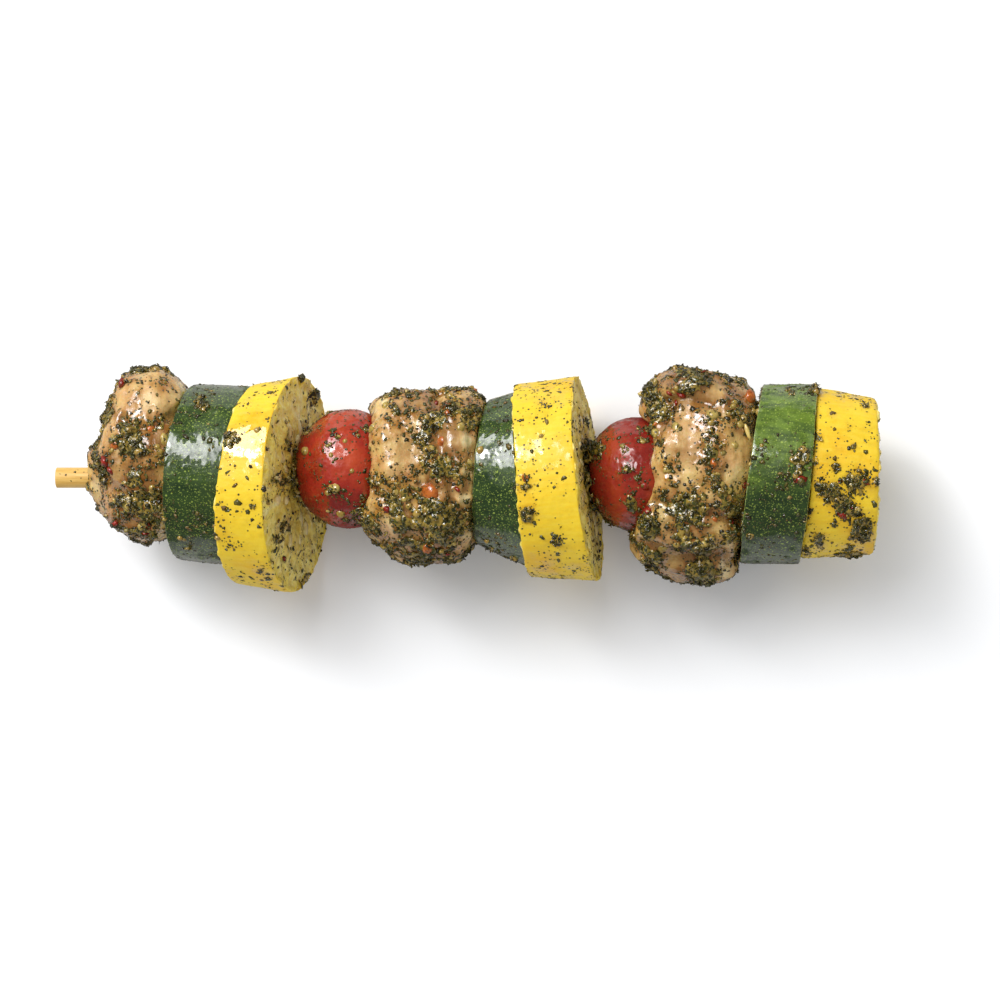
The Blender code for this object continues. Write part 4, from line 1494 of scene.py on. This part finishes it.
generator = np.random.default_rng(41)
onion_places, onion_normals, onion_lengths = set_spots([ONION_SPOT])
onion_boxes = onion_lengths[:, None] * np.array((1, *ONION_THICKNESS)) * MM
onion = scatter_mesh(
    "onion_sliver",
    *bead,
    onion_places,
    onion_normals,
    onion_boxes,
    tilt=0.05,
    lift=ONION_STANDS * onion_boxes[:, 2],
    generator=generator,
    uneven=0.12,
    bend=0.25,
    along=np.array([ONION_LIES_ALONG]),
)
smooth(onion)
onion.data.materials.append(spice_material("onion_pale", ONION_PALE, ONION_SHADE, 0.08))
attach(onion, "root")


# Herb flakes and crumbs
# Dried basil, oregano and parsley, rubbed small, wet and stuck on by the oil. The flakes are up
# to 2 mm across; the crumbs between them are half that.

ROOM_FOR_HERB = 0.45 * MM
HERB_BLACK = (0.020, 0.015, 0.004, 1)
HERB_DARK = (0.040, 0.033, 0.006, 1)
HERB_GREEN = (0.062, 0.064, 0.010, 1)
HERB_OLIVE = (0.125, 0.096, 0.016, 1)
HERB_BROWN = (0.15, 0.080, 0.015, 1)
HERB_STRAW = (0.36, 0.29, 0.08, 1)


def herb_material():
    material, tree, shader = new_material("dried_herbs")
    shade = stored_value(tree, "shade")
    veins = noise_value(tree, own_space(tree), 1800, 3, 0.6)
    wavered = maths(tree, "MULTIPLY", maths(tree, "SUBTRACT", veins, 0.5), 0.3)
    colour = colour_ramp(
        tree, maths(tree, "ADD", shade, wavered),
        (0.0, HERB_BLACK), (0.28, HERB_DARK), (0.5, HERB_GREEN), (0.7, HERB_OLIVE), (0.86, HERB_BROWN),
        (1.0, HERB_STRAW),
    )  # fmt: skip
    tree.links.new(colour, shader.inputs["Base Color"])
    tree.links.new(between(tree, veins, 0.35, 0.65, 0.05, 0.26), shader.inputs["Roughness"])
    shader.inputs["Specular IOR Level"].default_value = 0.9
    bumped(tree, shader, veins, distance=0.2 * MM)
    return material


LONE_FLAKES = rows_of(
    Spot, (75, 472, 0.9), (66, 475, 0.7), (237, 503, 2.2), (252, 520, 1.9), (224, 508, 1.5),
    (218, 505, 1.2), (235, 485, 1.3), (247, 478, 1.1), (270, 392, 2.4), (251, 578, 2.6), (248, 512, 1.4),
    (230, 545, 1.6), (564, 477, 2.0), (541, 382, 2.2), (302, 377, 2.0), (542, 537, 1.8), (558, 555, 1.2),
    (865, 470, 2.0), (862, 533, 2.2), (700, 462, 1.8), (678, 455, 1.5), (706, 480, 2.0), (186, 437, 2.0),
    (210, 440, 1.8), (509, 447, 1.7),
)  # fmt: skip
LONE_CRUMBS = rows_of(
    Spot, (81, 478, 0.6), (71, 481, 0.5), (60, 474, 0.5), (84, 472, 0.6), (78, 470, 0.4),
)  # fmt: skip

herbs = herb_material()
everything = foods + heaps + spices
whole_tree = tree_of(everything)


def strew(name, sides, per_square_mm, power, sizes_between, spots, seed):
    """Flakes or crumbs of herb over everything, the more the thicker the marinade, and at spots.

    The higher power is, the fewer lie where the marinade is thin.
    """

    def herb_chance(amount):
        return np.clip(amount / 1.4, 0, 1) ** power

    generator = np.random.default_rng(seed)
    places, normals, amounts = scattered(
        everything, whole_tree, ROOM_FOR_HERB, per_square_mm, herb_chance, seed
    )
    smallest, largest = sizes_between
    length = smallest + (largest - smallest) * generator.beta(1.5, 3.5, len(places))
    set_places, set_normals, set_lengths = set_spots(spots)
    places = np.concatenate([places, set_places])
    normals = np.concatenate([normals, set_normals])
    amounts = np.concatenate([amounts, np.zeros(len(spots))])
    length = np.concatenate([length, set_lengths])
    count = len(places)
    sizes = np.stack([length, length * generator.uniform(0.45, 0.9, count), 0.07 * length + 0.08], 1) * MM
    heaped = np.clip(amounts - 0.5, 0, 1)
    tilt = 0.10 + 0.35 * heaped
    lift = (0.02 + heaped * generator.random(count) * 0.25) * MM
    shape, faces = lens_shape(sides)
    made = scatter_mesh(name, shape, faces, places, normals, sizes, tilt, lift, generator, bend=0.6)
    shades = generator.beta(1.6, 2.0, count)
    write_values(made, "shade", np.repeat(shades, len(shape)))
    smooth(made)
    made.data.materials.append(herbs)
    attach(made, "root")


FLAKE_SIZES = (0.65, 2.1)
CRUMB_SIZES = (0.3, 0.9)
strew("herb_flakes", 5, per_square_mm=2.95, power=1.8, sizes_between=FLAKE_SIZES, spots=LONE_FLAKES, seed=11)
strew("herb_crumbs", 3, per_square_mm=4.0, power=1.5, sizes_between=CRUMB_SIZES, spots=LONE_CRUMBS, seed=12)
